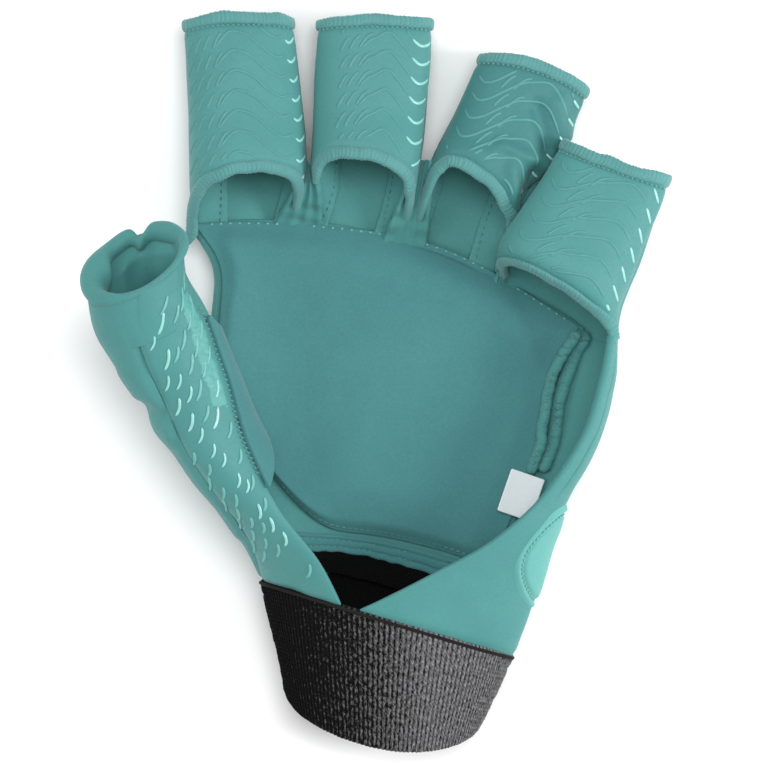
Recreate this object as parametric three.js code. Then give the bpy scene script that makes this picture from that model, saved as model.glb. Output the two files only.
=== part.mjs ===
// Left-hand field hockey glove with an open palm, lying palm up on its padded back.
// Units are millimetres. X runs from the thumb side to the little-finger side, Y from the wrist to the
// fingertips, and Z from the back of the hand up through the open palm.
import * as THREE from 'three';

// Wall thicknesses
const FABRIC = 1.8;
const GRIP_FABRIC = 1.5;
const FINGER_PADDING = 3.0;
const SHELL_CENTRE = 7.0;
const SHELL_EDGE = 3.0;
const LINING_PAD = 2.4;
const LINING_EDGE = 1.0;
const FACING = 1.2;
const LAP = 1.2;
const ELASTIC = 2.0;
const LABEL = 0.5;
const SIDE_PAD = 1.2;

// Overlocked hems on the finger tubes: how wide and thick, and how far the middle sits inside the surface.
// A mouth hem stops some degrees short of the side seams, and the grip panel's start is level beside them.
const HEM_WIDTH = 3.6;
const HEM_THICKNESS = 2.6;
const HEM_SET = 0.7;
const HEM_ENDS = 12;
const HEM_SIDES = 8;

// Half the gap between panels sewn edge to edge, round the thumb and round a finger, in degrees
const SEAM_DEGREES = 0.8;
const FINGER_SEAM = 1.2;

// Gaps between other neighbours: two layers, a finger tube's palm half and the padding, the cuff and the heel
const SEAM_GAP = 0.35;
const ROOT_LIFT = 2.6;
const CUFF_GAP = 0.6;

// How much of the way from its middle to its side seams the shell reaches
const SHELL_REACH = 0.985;

// How far the rows across the back bow towards the fingers
const BACK_BOW = 12.6;

// Thumb and heel of the thumb, from the open tip to the wrist. Each row is an elliptical section: its centre,
// half its width and height, the turn of its width in plan, and how far it leans back towards the wrist.
// The wall runs from the palm opening's edge over the top to the grip panel's seam, and on to the back's seam.
const THUMB_ROWS = [
  { x: -67.3, y: 34.5, z: 41.5, half: 14.9, rise: 12.4, turn: 26, lean: 38, edge: 0.5, grip: 103, seam: 359.5 },
  { x: -66.2, y: 22.4, z: 37.5, half: 14.7, rise: 12.4, turn: 26, lean: 32, edge: 12, grip: 108, seam: 370.5 },
  { x: -60.6, y: 12.0, z: 32.5, half: 15.2, rise: 12.8, turn: 22, lean: 24, edge: 27, grip: 114, seam: 376 },
  { x: -53.8, y: -1.4, z: 27.5, half: 14.0, rise: 14.0, turn: 18, lean: 15, edge: 34, grip: 121, seam: 298 },
  { x: -45.0, y: -18.2, z: 24.0, half: 13.4, rise: 14.5, turn: 7, lean: 8, edge: 50, grip: 129, seam: 268 },
  { x: -30.6, y: -35.8, z: 21.0, half: 16.0, rise: 14.8, turn: -3, lean: 4, edge: 76, grip: 141, seam: 248 },
  { x: -13.3, y: -51.8, z: 18.0, half: 25.0, rise: 14.8, turn: -10, lean: 0, edge: 97, grip: 155, seam: 234 },
  { x: 2.7, y: -66.9, z: 15.5, half: 36.9, rise: 14.5, turn: -16.7, lean: 0, edge: 112, grip: 176, seam: 222 },
];

// Little-finger side and heel of the palm, from the finger roots to the wrist: the same kind of section,
// from the back's seam round the outside to the palm opening's edge.
const SIDE_ROWS = [
  { x: 54.8, y: 15.4, z: 22.5, half: 13.6, rise: 15.5, turn: -22, seam: -72, edge: 30 },
  { x: 49.8, y: 1.4, z: 22.5, half: 16.6, rise: 15.5, turn: -12, seam: -84, edge: 35 },
  { x: 45.3, y: -14.0, z: 22.0, half: 17.4, rise: 15.5, turn: -8, seam: -78, edge: 41 },
  { x: 36.5, y: -29.4, z: 21.0, half: 18.2, rise: 15.2, turn: -7, seam: -66, edge: 48 },
  { x: 25.2, y: -42.6, z: 19.0, half: 23.2, rise: 15.0, turn: -10, seam: -57, edge: 67 },
  { x: 13.3, y: -52.4, z: 17.0, half: 31.9, rise: 14.8, turn: -14, seam: -50, edge: 82 },
  { x: 2.7, y: -66.9, z: 15.5, half: 36.9, rise: 14.5, turn: -16.7, seam: -42, edge: 103 },
];

// The back's free edge above the thumb's crotch, from the index root towards the wrist
const CROTCH_EDGE = [
  { x: -53.2, y: 42.6, z: 7.0 },
  { x: -46.9, y: 31.0, z: 9.0 },
  { x: -47.6, y: 17.0, z: 12.0 },
];

// Height of the shell's underside along its middle line, from the finger roots to the wrist
const KEEL_ROWS = [
  { along: 0, z: 2.4 },
  { along: 0.25, z: 0 },
  { along: 0.8, z: 0 },
  { along: 1, z: 1.0 },
];

// Finger tubes. Each section gives its centre, half its width, the turn of its width in plan, its roll, how
// far it reaches above and below the side seams, and how far its middle bows towards the tip. The root runs
// along the back's edge from one place across it to another; past its share of the width, it goes on up the
// side panel's top to the wrap angle. Its palm half is lifted by up, and the back half starts after the gap.
// The mouth hem's line is given by how far along the finger it lies at each angle round the palm half.
const FINGERS = [
  {
    name: 'index',
    root: { from: -0.985, to: -0.49, up: 5.5, share: 1, wrap: 0, gap: 0.8 },
    arch: [
      { angle: 12, along: 4.5 },
      { angle: 30, along: 11.5 },
      { angle: 60, along: 14.8 },
      { angle: 90, along: 15.4 },
      { angle: 120, along: 12.8 },
      { angle: 150, along: 8.0 },
      { angle: 168, along: 2.4 },
    ],
    sections: [
      { along: 12, x: -36.6, y: 56.0, z: 14.0, half: 16.4, turn: 0, roll: 0, up: 11.0, down: 11.0, bow: 0 },
      { along: 31, x: -37.1, y: 75.6, z: 12.5, half: 16.4, turn: 0, roll: 0, up: 9.5, down: 10.0, bow: 0.5 },
      { along: 58, x: -39.3, y: 101.8, z: 10.5, half: 15.5, turn: 1.6, roll: 0, up: 6.8, down: 8.2, bow: 1.8 },
    ],
  },
  {
    name: 'middle',
    root: { from: -0.455, to: 0.085, up: 5.5, share: 1, wrap: 0, gap: 0.8 },
    arch: [
      { angle: 12, along: 5.0 },
      { angle: 30, along: 11.8 },
      { angle: 60, along: 16.3 },
      { angle: 90, along: 19.0 },
      { angle: 120, along: 19.2 },
      { angle: 150, along: 15.5 },
      { angle: 168, along: 7.5 },
    ],
    sections: [
      { along: 12, x: -4.2, y: 55.4, z: 14.5, half: 15.5, turn: -2, roll: 0, up: 11.0, down: 11.5, bow: 0 },
      { along: 31, x: -2.2, y: 75.6, z: 12.8, half: 16.2, turn: -2, roll: 0, up: 9.5, down: 10.3, bow: 0.4 },
      { along: 59, x: -0.6, y: 101.6, z: 10.5, half: 16.3, turn: 0, roll: 0, up: 6.8, down: 8.2, bow: 1.2 },
    ],
  },
  {
    name: 'ring',
    root: { from: 0.12, to: 0.555, up: 5.5, share: 1, wrap: 0, gap: 0.8 },
    arch: [
      { angle: 12, along: 7.0 },
      { angle: 30, along: 13.0 },
      { angle: 60, along: 16.6 },
      { angle: 90, along: 20.6 },
      { angle: 120, along: 22.0 },
      { angle: 150, along: 18.5 },
      { angle: 168, along: 7.0 },
    ],
    sections: [
      { along: 17, x: 27.4, y: 53.0, z: 14.0, half: 14.7, turn: -22, roll: -6, up: 10.0, down: 11.0, bow: 0 },
      { along: 35, x: 36.9, y: 69.9, z: 12.6, half: 16.3, turn: -20, roll: -4, up: 8.6, down: 9.6, bow: 1.2 },
      { along: 55, x: 44.5, y: 87.0, z: 11.0, half: 16.2, turn: -17.6, roll: -2, up: 6.6, down: 8.0, bow: 3.2 },
    ],
  },
  {
    name: 'little',
    root: { from: 0.59, to: 0.985, up: 5.5, share: 0.78, wrap: 16, gap: 1.5 },
    arch: [
      { angle: 12, along: 2.2 },
      { angle: 60, along: 5.2 },
      { angle: 90, along: 7.0 },
      { angle: 120, along: 7.3 },
      { angle: 168, along: 4.8 },
    ],
    sections: [
      { along: 9, x: 51.0, y: 28.3, z: 22.0, half: 19.4, turn: -25, roll: 6, up: 12.0, down: 14.0, bow: 0 },
      { along: 23, x: 57.4, y: 41.0, z: 22.2, half: 18.2, turn: -24, roll: 5, up: 10.0, down: 11.5, bow: 0 },
      { along: 46, x: 67.4, y: 62.4, z: 20.5, half: 16.0, turn: -19, roll: 4, up: 7.0, down: 8.2, bow: -0.7 },
    ],
  },
];

// Elastic cuff: its lower rim, how far that rim's palm and back sides hang below its folds, and the share of
// its length round that lies in front of the back's two seams
const CUFF_FOOT = { x: 1.5, y: -90.5, z: 12.6, half: 28.4, rise: 11.2, turn: -9.1 };
const CUFF_PALM_DROP = 12.3;
const CUFF_BACK_DROP = 1.5;
const CUFF_FRONT = 0.7;

// Stitched pad on the side panel: the side rows it spans, its middle angle, its spread in degrees, and how
// blunt its two ends are
const SIDE_PAD_PLACE = { start: 3.15, end: 5.32, middle: 3, spread: 90, blunt: 0.45 };

// Lining pad: its reach along the back's middle and across it to the thumb and little-finger sides, how much
// its lower edge bows, how much of its lower thumb corner is rounded away, and how far its thumb side lifts
const PAD_REACH = { start: 0.03, end: 0.886, thumb: -0.93, little: 0.94, bow: 0.105, corner: 0.3, lift: 0.6 };

// Bands below the pad, each with its two edges along the back's middle, its reach to both sides and the bow of
// its edges: the cloth facing, and the cuff's elastic that laps inside the back
const FACING_REACH = { start: 0.91, end: 0.962, side: 0.88, bow: 0.11 };
const LAP_REACH = { start: 0.975, end: 1.05, side: 0.88, bow: 0.11 };

// Label: its middle, size, turn in plan, and how far its two long edges curl up
const LABEL_PLACE = { x: 40.4, y: -32.4, z: 10.7, width: 9.6, length: 12, turn: -19, curl: 0.4 };

// Gusset below the thumb's crotch: the thumb row where it starts, the rows where its free edge leaves the grip
// panel and meets the padding, and its lift above the shell in degrees
const GUSSET = { start: 1.85, gripEnd: 4.6, padEnd: 3.6, lift: 27 };

// Rolled rim at the thumb's tip: the thumb rows it takes, its section, how far inside the surface its middle
// sits, and how deep, where and over what angle it is dented
const THUMB_RIM = { rows: 0.4, width: 4.4, thickness: 4.4, set: 0.8, dent: 1.6, dentAt: 288, dentSpread: 14 };

// Colours from the photograph
const TEAL = 0x5aa59f;
const TEAL_LINING = 0x58a09e;
const CHARCOAL = 0x2a2a2c;
const LABEL_WHITE = 0xdde3e4;

const fabric = new THREE.MeshStandardMaterial({ color: TEAL, roughness: 0.62, metalness: 0 });
const lining = new THREE.MeshStandardMaterial({ color: TEAL_LINING, roughness: 0.75, metalness: 0 });
const grip = new THREE.MeshStandardMaterial({ color: TEAL, roughness: 0.42, metalness: 0 });
const hemThread = new THREE.MeshStandardMaterial({ color: TEAL, roughness: 0.8, metalness: 0 });
const elastic = new THREE.MeshStandardMaterial({ color: CHARCOAL, roughness: 0.95, metalness: 0 });
const labelCloth = new THREE.MeshStandardMaterial({ color: LABEL_WHITE, roughness: 0.7, metalness: 0 });

const glove = new THREE.Group();

const radians = THREE.MathUtils.degToRad;
const lerp = THREE.MathUtils.lerp;

// A smooth curve through values at knots: cubic Hermite with slopes from the neighbours.
function smoothValue(knots, values, at) {
  const last = knots.length - 1;
  let i = 0;
  while (i < last - 1 && at > knots[i + 1]) i += 1;
  const slope = (k) => {
    const a = Math.max(0, k - 1);
    const b = Math.min(last, k + 1);
    return (values[b] - values[a]) / (knots[b] - knots[a]);
  };
  const span = knots[i + 1] - knots[i];
  const t = (at - knots[i]) / span;
  const t2 = t * t;
  const t3 = t2 * t;
  return (
    (2 * t3 - 3 * t2 + 1) * values[i] +
    (t3 - 2 * t2 + t) * span * slope(i) +
    (3 * t2 - 2 * t3) * values[i + 1] +
    (t3 - t2) * span * slope(i + 1)
  );
}

// Every named column of a table at a place along it. Rows without an along column are one unit apart.
function rowAt(rows, at) {
  const knots = rows.map((row, i) => row.along ?? i);
  const blended = {};
  for (const column of Object.keys(rows[0])) {
    blended[column] = smoothValue(knots, rows.map((row) => row[column]), at);
  }
  return blended;
}

// A point of an elliptical section at an angle, counted from its +X end over its top.
function sectionPoint(row, degrees) {
  const angle = radians(degrees);
  const turn = radians(row.turn);
  const lean = radians(row.lean ?? 0);
  const across = row.half * Math.cos(angle);
  const up = row.rise * Math.sin(angle);
  const back = up * Math.sin(lean);
  return new THREE.Vector3(
    row.x + across * Math.cos(turn) + back * Math.sin(turn),
    row.y + across * Math.sin(turn) - back * Math.cos(turn),
    row.z + up * Math.cos(lean),
  );
}

const THUMB_LAST = THUMB_ROWS.length - 1;
const SIDE_LAST = SIDE_ROWS.length - 1;

// The seam curves that bound the back, each along 0 at the finger roots to 1 at the wrist. The thumb's rows
// join it below the crotch.
const CROTCH_ROW = 3;
const thumbSeamRows = THUMB_ROWS.slice(CROTCH_ROW).map((row) => sectionPoint(row, row.seam));
const thumbSide = [...CROTCH_EDGE.map((p) => new THREE.Vector3(p.x, p.y, p.z)), ...thumbSeamRows];
const littleSide = SIDE_ROWS.map((row) => sectionPoint(row, row.seam));

// A smooth curve through points at knots.
function curvePoint(knots, points, at) {
  const value = (axis) => smoothValue(knots, points.map((p) => p[axis]), at);
  return new THREE.Vector3(value('x'), value('y'), value('z'));
}

function seamPoint(points, along) {
  return curvePoint(points.map((_, i) => i / (points.length - 1)), points, along);
}

// The underside of the padded back: across runs from -1 at the thumb side to 1 at the little-finger side.
function backPoint(across, along) {
  const left = seamPoint(thumbSide, along);
  const right = seamPoint(littleSide, along);
  const point = left.clone().lerp(right, (across + 1) / 2);
  point.y += BACK_BOW * (1 - across * across);
  const keel = Math.max(0, rowAt(KEEL_ROWS, along).z);
  const side = across < 0 ? left.z : right.z;
  const dish = Math.max(0, (Math.abs(across) - 0.35) / 0.65);
  point.z = Math.max(0, lerp(keel, side, dish ** 2.2));
  return point;
}

// The padding thins towards the sides, the finger roots and the wrist.
function shellThickness(across, along) {
  const ends = Math.min(1, along / 0.14, (1.04 - along) / 0.3);
  return lerp(SHELL_EDGE, SHELL_CENTRE, (1 - Math.abs(across) ** 3) * Math.max(0, ends) ** 0.7);
}

// The outward unit normal of a surface: s runs round it from its +X side over its top, or across the back
// towards +X, and t runs towards the wrist.
function surfaceNormal(surface, s, t) {
  const STEP = 1e-3;
  const ds = surface(s + STEP, t).sub(surface(s - STEP, t));
  const dt = surface(s, t + STEP).sub(surface(s, t - STEP));
  return ds.cross(dt).normalize();
}

// A place inside the padded back, a height above the shell's inner face and square to it.
function abovePadding(across, along, height) {
  const normal = surfaceNormal(backPoint, across, along);
  return backPoint(across, along).addScaledVector(normal, -(shellThickness(across, along) + height));
}

// A BufferGeometry whose faces point out, whichever way round they were listed.
function closedGeometry(points, index) {
  let volume = 0;
  for (let i = 0; i < index.length; i += 3) {
    const [a, b, c] = [points[index[i]], points[index[i + 1]], points[index[i + 2]]];
    volume += a.dot(b.clone().cross(c));
  }
  if (volume < 0) {
    for (let i = 0; i < index.length; i += 3) [index[i + 1], index[i + 2]] = [index[i + 2], index[i + 1]];
  }
  const geometry = new THREE.BufferGeometry().setFromPoints(points);
  geometry.setIndex(index);
  geometry.computeVertexNormals();
  return geometry;
}

// Closed wall from a surface of s and t, both 0 to 1: it runs from outer, outside it, to inner, inside it.
// Both are distances, or functions of s and t. A looped wall meets itself where s is 0 and 1.
function wallSolid(surface, { across, along, outer = 0, inner, looped = false }) {
  const distance = (value, s, t) => (typeof value === 'function' ? value(s, t) : value);
  const columns = looped ? across : across + 1;
  const front = [];
  const behind = [];
  for (let j = 0; j <= along; j += 1) {
    for (let i = 0; i < columns; i += 1) {
      const s = i / across;
      const t = j / along;
      const normal = surfaceNormal(surface, s, t);
      front.push(surface(s, t).addScaledVector(normal, distance(outer, s, t)));
      behind.push(surface(s, t).addScaledVector(normal, -distance(inner, s, t)));
    }
  }
  const half = front.length;
  const index = [];
  const at = (i, j) => j * columns + (i % columns);
  const quad = (a, b, c, d) => index.push(a, b, c, a, c, d);
  for (let j = 0; j < along; j += 1) {
    for (let i = 0; i < across; i += 1) {
      quad(at(i, j), at(i + 1, j), at(i + 1, j + 1), at(i, j + 1));
      quad(half + at(i, j), half + at(i, j + 1), half + at(i + 1, j + 1), half + at(i + 1, j));
    }
  }
  for (let i = 0; i < across; i += 1) {
    quad(at(i + 1, 0), at(i, 0), half + at(i, 0), half + at(i + 1, 0));
    quad(at(i, along), at(i + 1, along), half + at(i + 1, along), half + at(i, along));
  }
  if (!looped) {
    for (let j = 0; j < along; j += 1) {
      quad(at(0, j), at(0, j + 1), half + at(0, j + 1), half + at(0, j));
      quad(at(across, j + 1), at(across, j), half + at(across, j), half + at(across, j + 1));
    }
  }
  return closedGeometry([...front, ...behind], index);
}

// A rounded bead along a path. At s the place gives the bead's centre and its two half-width vectors.
function beadSolid(place, { segments, around, looped = false }) {
  const stations = looped ? segments : segments + 1;
  const points = [];
  for (let i = 0; i < stations; i += 1) {
    const { centre, wide, thick } = place(i / segments);
    for (let k = 0; k < around; k += 1) {
      const angle = (2 * Math.PI * (k + 0.5)) / around;
      points.push(
        centre.clone().addScaledVector(wide, Math.cos(angle)).addScaledVector(thick, Math.sin(angle)),
      );
    }
  }
  const index = [];
  const at = (i, k) => (i % stations) * around + (k % around);
  for (let i = 0; i < segments; i += 1) {
    for (let k = 0; k < around; k += 1) {
      index.push(at(i, k), at(i + 1, k), at(i + 1, k + 1), at(i, k), at(i + 1, k + 1), at(i, k + 1));
    }
  }
  if (!looped) {
    for (let k = 1; k < around - 1; k += 1) {
      index.push(at(0, 0), at(0, k), at(0, k + 1));
      index.push(at(segments, 0), at(segments, k + 1), at(segments, k));
    }
  }
  return closedGeometry(points, index);
}

function addPiece(name, geometry, material) {
  const mesh = new THREE.Mesh(geometry, material);
  mesh.name = name;
  glove.add(mesh);
}

// Padded back, its lining pad, and the bands at the wrist
addPiece(
  'back_shell',
  wallSolid((s, t) => backPoint(lerp(-SHELL_REACH, SHELL_REACH, s), t), {
    across: 18,
    along: 11,
    inner: (s, t) => shellThickness(lerp(-1, 1, s), t),
  }),
  fabric,
);

const padHeight = (s, t) => {
  const inside = Math.min(1, Math.min(s, 1 - s, t, 1 - t) / 0.14);
  return lerp(LINING_EDGE, LINING_PAD, inside ** 0.5);
};
addPiece(
  'back_lining',
  wallSolid(
    (s, t) => {
      const across = lerp(PAD_REACH.thumb, PAD_REACH.little, s);
      const aside = Math.max(0, (across + 0.3) / (PAD_REACH.thumb + 0.3)) ** 4;
      const end = PAD_REACH.end - PAD_REACH.bow * across ** 2 - PAD_REACH.corner * aside;
      return abovePadding(across, lerp(PAD_REACH.start, end, t), SEAM_GAP + PAD_REACH.lift * aside);
    },
    { across: 16, along: 11, inner: padHeight },
  ),
  lining,
);

const band = (reach) => (s, t) => {
  const across = lerp(-reach.side, reach.side, s);
  return abovePadding(across, lerp(reach.start, reach.end, t) - reach.bow * across ** 2, SEAM_GAP);
};
addPiece('wrist_facing', wallSolid(band(FACING_REACH), { across: 14, along: 2, inner: FACING }), lining);
addPiece('cuff_lap', wallSolid(band(LAP_REACH), { across: 14, along: 2, inner: LAP }), elastic);

// Label, lying on the lining beside the side seam
addPiece(
  'label',
  wallSolid(
    (s, t) => {
      const along = new THREE.Vector3(LABEL_PLACE.width * (s - 0.5), -LABEL_PLACE.length * (t - 0.5), 0);
      along.z = LABEL_PLACE.curl * (2 * s - 1) ** 2;
      return along
        .applyAxisAngle(new THREE.Vector3(0, 0, 1), radians(LABEL_PLACE.turn))
        .add(new THREE.Vector3(LABEL_PLACE.x, LABEL_PLACE.y, LABEL_PLACE.z));
    },
    { across: 6, along: 1, inner: LABEL },
  ),
  labelCloth,
);

// Side panel from the back's seam to the palm opening, and the stitched pad on it
addPiece(
  'side_panel',
  wallSolid(
    (s, t) => {
      const row = rowAt(SIDE_ROWS, t * SIDE_LAST);
      return sectionPoint(row, lerp(row.seam, row.edge, s));
    },
    { across: 13, along: 12, inner: FABRIC },
  ),
  fabric,
);

addPiece(
  'side_pad',
  wallSolid(
    (s, t) => {
      const row = rowAt(SIDE_ROWS, lerp(SIDE_PAD_PLACE.start, SIDE_PAD_PLACE.end, t));
      const reach = lerp(0.12, 1, Math.max(0, Math.sin(Math.PI * t)) ** SIDE_PAD_PLACE.blunt) * (s - 0.5);
      return sectionPoint(row, SIDE_PAD_PLACE.middle + SIDE_PAD_PLACE.spread * reach);
    },
    {
      across: 11,
      along: 10,
      outer: (s, t) => SEAM_GAP + 0.45 + SIDE_PAD * (Math.sin(Math.PI * s) * Math.sin(Math.PI * t)) ** 0.6,
      inner: -SEAM_GAP - 0.15,
    },
  ),
  fabric,
);

// Thumb: grip panel, plain sleeve, gusset at its crotch and the rolled rim at its tip
const thumbWall = (s, t, low, high) => {
  const row = rowAt(THUMB_ROWS, t);
  return sectionPoint(row, lerp(low(row), high(row), s));
};
const thumbAlong = (t) => lerp(THUMB_RIM.rows, THUMB_LAST, t);
addPiece(
  'thumb_grip',
  wallSolid(
    (s, t) =>
      thumbWall(s, thumbAlong(t), (row) => row.edge, (row) => row.grip - SEAM_DEGREES),
    { across: 8, along: 14, inner: GRIP_FABRIC },
  ),
  grip,
);
addPiece(
  'thumb_sleeve',
  wallSolid(
    (s, t) =>
      thumbWall(s, thumbAlong(t), (row) => row.grip + SEAM_DEGREES, (row) => row.seam - SEAM_DEGREES),
    { across: 12, along: 14, inner: FABRIC },
  ),
  fabric,
);
addPiece(
  'thumb_gusset',
  wallSolid(
    (s, t) => {
      const at = lerp(GUSSET.start, lerp(GUSSET.padEnd, GUSSET.gripEnd, s ** 2), t);
      const lift = SEAM_DEGREES + GUSSET.lift * THREE.MathUtils.smoothstep(at, 2.4, 3.2);
      return thumbWall(s, at, (row) => row.seam + lift, (row) => 360 + row.edge - SEAM_DEGREES);
    },
    { across: 7, along: 9, inner: FABRIC },
  ),
  fabric,
);
addPiece(
  'thumb_hem',
  beadSolid(
    (s) => {
      const surface = (u, v) => sectionPoint(rowAt(THUMB_ROWS, v), 360 * u);
      const middle = THUMB_RIM.rows / 2;
      const normal = surfaceNormal(surface, s, middle);
      const dent = THUMB_RIM.dent * Math.exp(-(((s * 360 - THUMB_RIM.dentAt) / THUMB_RIM.dentSpread) ** 2));
      const centre = surface(s, middle).addScaledVector(normal, -THUMB_RIM.set - dent);
      const wide = surface(s, middle + 0.1).sub(surface(s, middle - 0.1)).normalize();
      return {
        centre,
        wide: wide.multiplyScalar(THUMB_RIM.width / 2),
        thick: normal.multiplyScalar(THUMB_RIM.thickness / 2),
      };
    },
    { segments: 32, around: 8, looped: true },
  ),
  fabric,
);

// A point of a finger tube's section. Angle 0 is the seam nearer the little finger, 90 the palm side and 180
// the other seam. The section is a little squarer than an ellipse.
function tubePoint(row, degrees) {
  const angle = radians(degrees);
  const boxy = (value) => Math.sign(value) * Math.abs(value) ** 0.8;
  const height = Math.sin(angle) > 0 ? row.up : row.down;
  const bow = row.bow * Math.sin(angle) ** 2;
  return new THREE.Vector3(row.half * boxy(Math.cos(angle)), bow, height * boxy(Math.sin(angle)))
    .applyAxisAngle(new THREE.Vector3(0, 1, 0), -radians(row.roll))
    .applyAxisAngle(new THREE.Vector3(0, 0, 1), radians(row.turn))
    .add(new THREE.Vector3(row.x, row.y, row.z));
}

// A finger root's line along the shell's edge, then up the top of the side panel where it wraps.
function rootLine(root, share) {
  if (share <= root.share) return backPoint(lerp(root.from, root.to, share / root.share), 0);
  const row = SIDE_ROWS[0];
  return sectionPoint(row, lerp(row.seam, root.wrap, (share - root.share) / (1 - root.share)));
}

// The tube's back half starts on the root line. Its palm half arches from one end of that line to the other,
// lifted clear of the padding.
function rootPoint(root, degrees) {
  const angle = radians(degrees);
  const share = (1 + Math.cos(angle)) / 2;
  if (Math.sin(angle) <= 0) return rootLine(root, share);
  const point = rootLine(root, 0).lerp(rootLine(root, 1), share);
  point.z += lerp(ROOT_LIFT, root.up, Math.sin(angle) ** 0.5);
  return point;
}

function fingerPoint(finger, degrees, along) {
  const knots = [0, ...finger.sections.map((row) => row.along)];
  const points = [rootPoint(finger.root, degrees), ...finger.sections.map((row) => tubePoint(row, degrees))];
  return curvePoint(knots, points, along);
}

// How far along the finger a mouth hem's middle line runs at an angle.
function archAt(arch, degrees) {
  const angles = arch.map((place) => place.angle);
  const within = THREE.MathUtils.clamp(degrees, angles[0], angles.at(-1));
  return smoothValue(angles, arch.map((place) => place.along), within);
}

// The middle line of a mouth hem, from one seam over the palm side to the other.
function hemLine(finger, s) {
  const degrees = lerp(HEM_ENDS, 180 - HEM_ENDS, s);
  return fingerPoint(finger, degrees, archAt(finger.arch, degrees));
}

// How far along the finger the grip panel starts at an angle, clear of the points on the mouth hem's line.
function gripStart(finger, degrees, line) {
  const STEP = 0.2;
  const beside = THREE.MathUtils.clamp(degrees, HEM_ENDS + HEM_SIDES, 180 - HEM_ENDS - HEM_SIDES);
  let along = archAt(finger.arch, beside);
  const meetsHem = () => {
    const edge = fingerPoint(finger, beside, along);
    return line.some((point) => point.distanceTo(edge) < HEM_WIDTH / 2 + SEAM_GAP);
  };
  while (meetsHem()) along += STEP;
  return along;
}

for (const finger of FINGERS) {
  const tip = finger.sections.at(-1).along;
  const wallEnd = tip - HEM_WIDTH - SEAM_GAP;
  const line = Array.from({ length: 41 }, (_, i) => hemLine(finger, i / 40));
  const wall = (from, to, start) => (s, t) => {
    const degrees = lerp(from, to, s);
    return fingerPoint(finger, degrees, lerp(wallEnd, start(degrees), t));
  };
  addPiece(
    `${finger.name}_back`,
    wallSolid(wall(180 + FINGER_SEAM, 360 - FINGER_SEAM, () => finger.root.gap), {
      across: 9,
      along: 7,
      inner: (s, t) => lerp(FABRIC, FINGER_PADDING, Math.sin(Math.PI * s) ** 0.7 * Math.min(1, 4 * (1 - t))),
    }),
    fabric,
  );
  addPiece(
    `${finger.name}_grip`,
    wallSolid(wall(FINGER_SEAM, 180 - FINGER_SEAM, (degrees) => gripStart(finger, degrees, line)), {
      across: 12,
      along: 8,
      inner: GRIP_FABRIC,
    }),
    grip,
  );
  addPiece(
    `${finger.name}_tip_hem`,
    beadSolid(
      (s) => {
        const surface = (u, v) => fingerPoint(finger, 360 * u, tip - v);
        const normal = surfaceNormal(surface, s, HEM_WIDTH / 2);
        const wide = surface(s, 0).sub(surface(s, HEM_WIDTH)).multiplyScalar(0.5);
        return {
          centre: surface(s, HEM_WIDTH / 2).addScaledVector(normal, -HEM_SET),
          wide,
          thick: normal.multiplyScalar(HEM_THICKNESS / 2),
        };
      },
      { segments: 26, around: 6, looped: true },
    ),
    hemThread,
  );
  addPiece(
    `${finger.name}_mouth_hem`,
    beadSolid(
      (s) => {
        const degrees = lerp(HEM_ENDS, 180 - HEM_ENDS, s);
        const surface = (u, v) => fingerPoint(finger, 180 * u, -v);
        const normal = surfaceNormal(surface, degrees / 180, -archAt(finger.arch, degrees));
        const tangent = hemLine(finger, s + 0.01).sub(hemLine(finger, s - 0.01)).normalize();
        const wide = normal.clone().cross(tangent).normalize();
        return {
          centre: hemLine(finger, s).addScaledVector(normal, -HEM_SET),
          wide: wide.multiplyScalar(HEM_WIDTH / 2),
          thick: normal.multiplyScalar(HEM_THICKNESS / 2),
        };
      },
      { segments: 16, around: 6 },
    ),
    hemThread,
  );
}

// Knitted elastic cuff: its upper rim follows the wrist row in front and the shell's bowed edge behind
const WRIST = SIDE_ROWS[SIDE_LAST];
const seamCosine = Math.abs(Math.cos(radians(WRIST.seam)));
addPiece(
  'cuff',
  wallSolid(
    (s, t) => {
      const degrees =
        s < CUFF_FRONT
          ? lerp(WRIST.seam, 180 - WRIST.seam, s / CUFF_FRONT)
          : lerp(180 - WRIST.seam, 360 + WRIST.seam, (s - CUFF_FRONT) / (1 - CUFF_FRONT));
      const up = Math.sin(radians(degrees));
      const over = Math.cos(radians(degrees)) / seamCosine;
      const rim = sectionPoint(WRIST, degrees);
      rim.y -= CUFF_GAP;
      if (up < 0 && Math.abs(over) < 1) rim.y += (BACK_BOW - 0.2) * (1 - over * over);
      const foot = sectionPoint(CUFF_FOOT, degrees);
      foot.y -= up > 0 ? CUFF_PALM_DROP * up : -CUFF_BACK_DROP * up;
      return rim.lerp(foot, t);
    },
    { across: 40, along: 5, inner: ELASTIC, looped: true },
  ),
  elastic,
);

// The resting point is the middle of the glove's footprint, at the floor.
const bounds = new THREE.Box3().setFromObject(glove);
const middle = bounds.getCenter(new THREE.Vector3());
glove.position.set(-middle.x, -middle.y, -bounds.min.z);

export default glove;
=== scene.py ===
# Looks of a left-hand field hockey glove with an open palm, lying palm up on its padded back.
# Shapes are worked out in millimetres, in the part's own frame, and become metres when a mesh is made.
# X runs from the thumb side to the little-finger side, Y from the wrist to the fingertips, Z up.
import math

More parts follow.
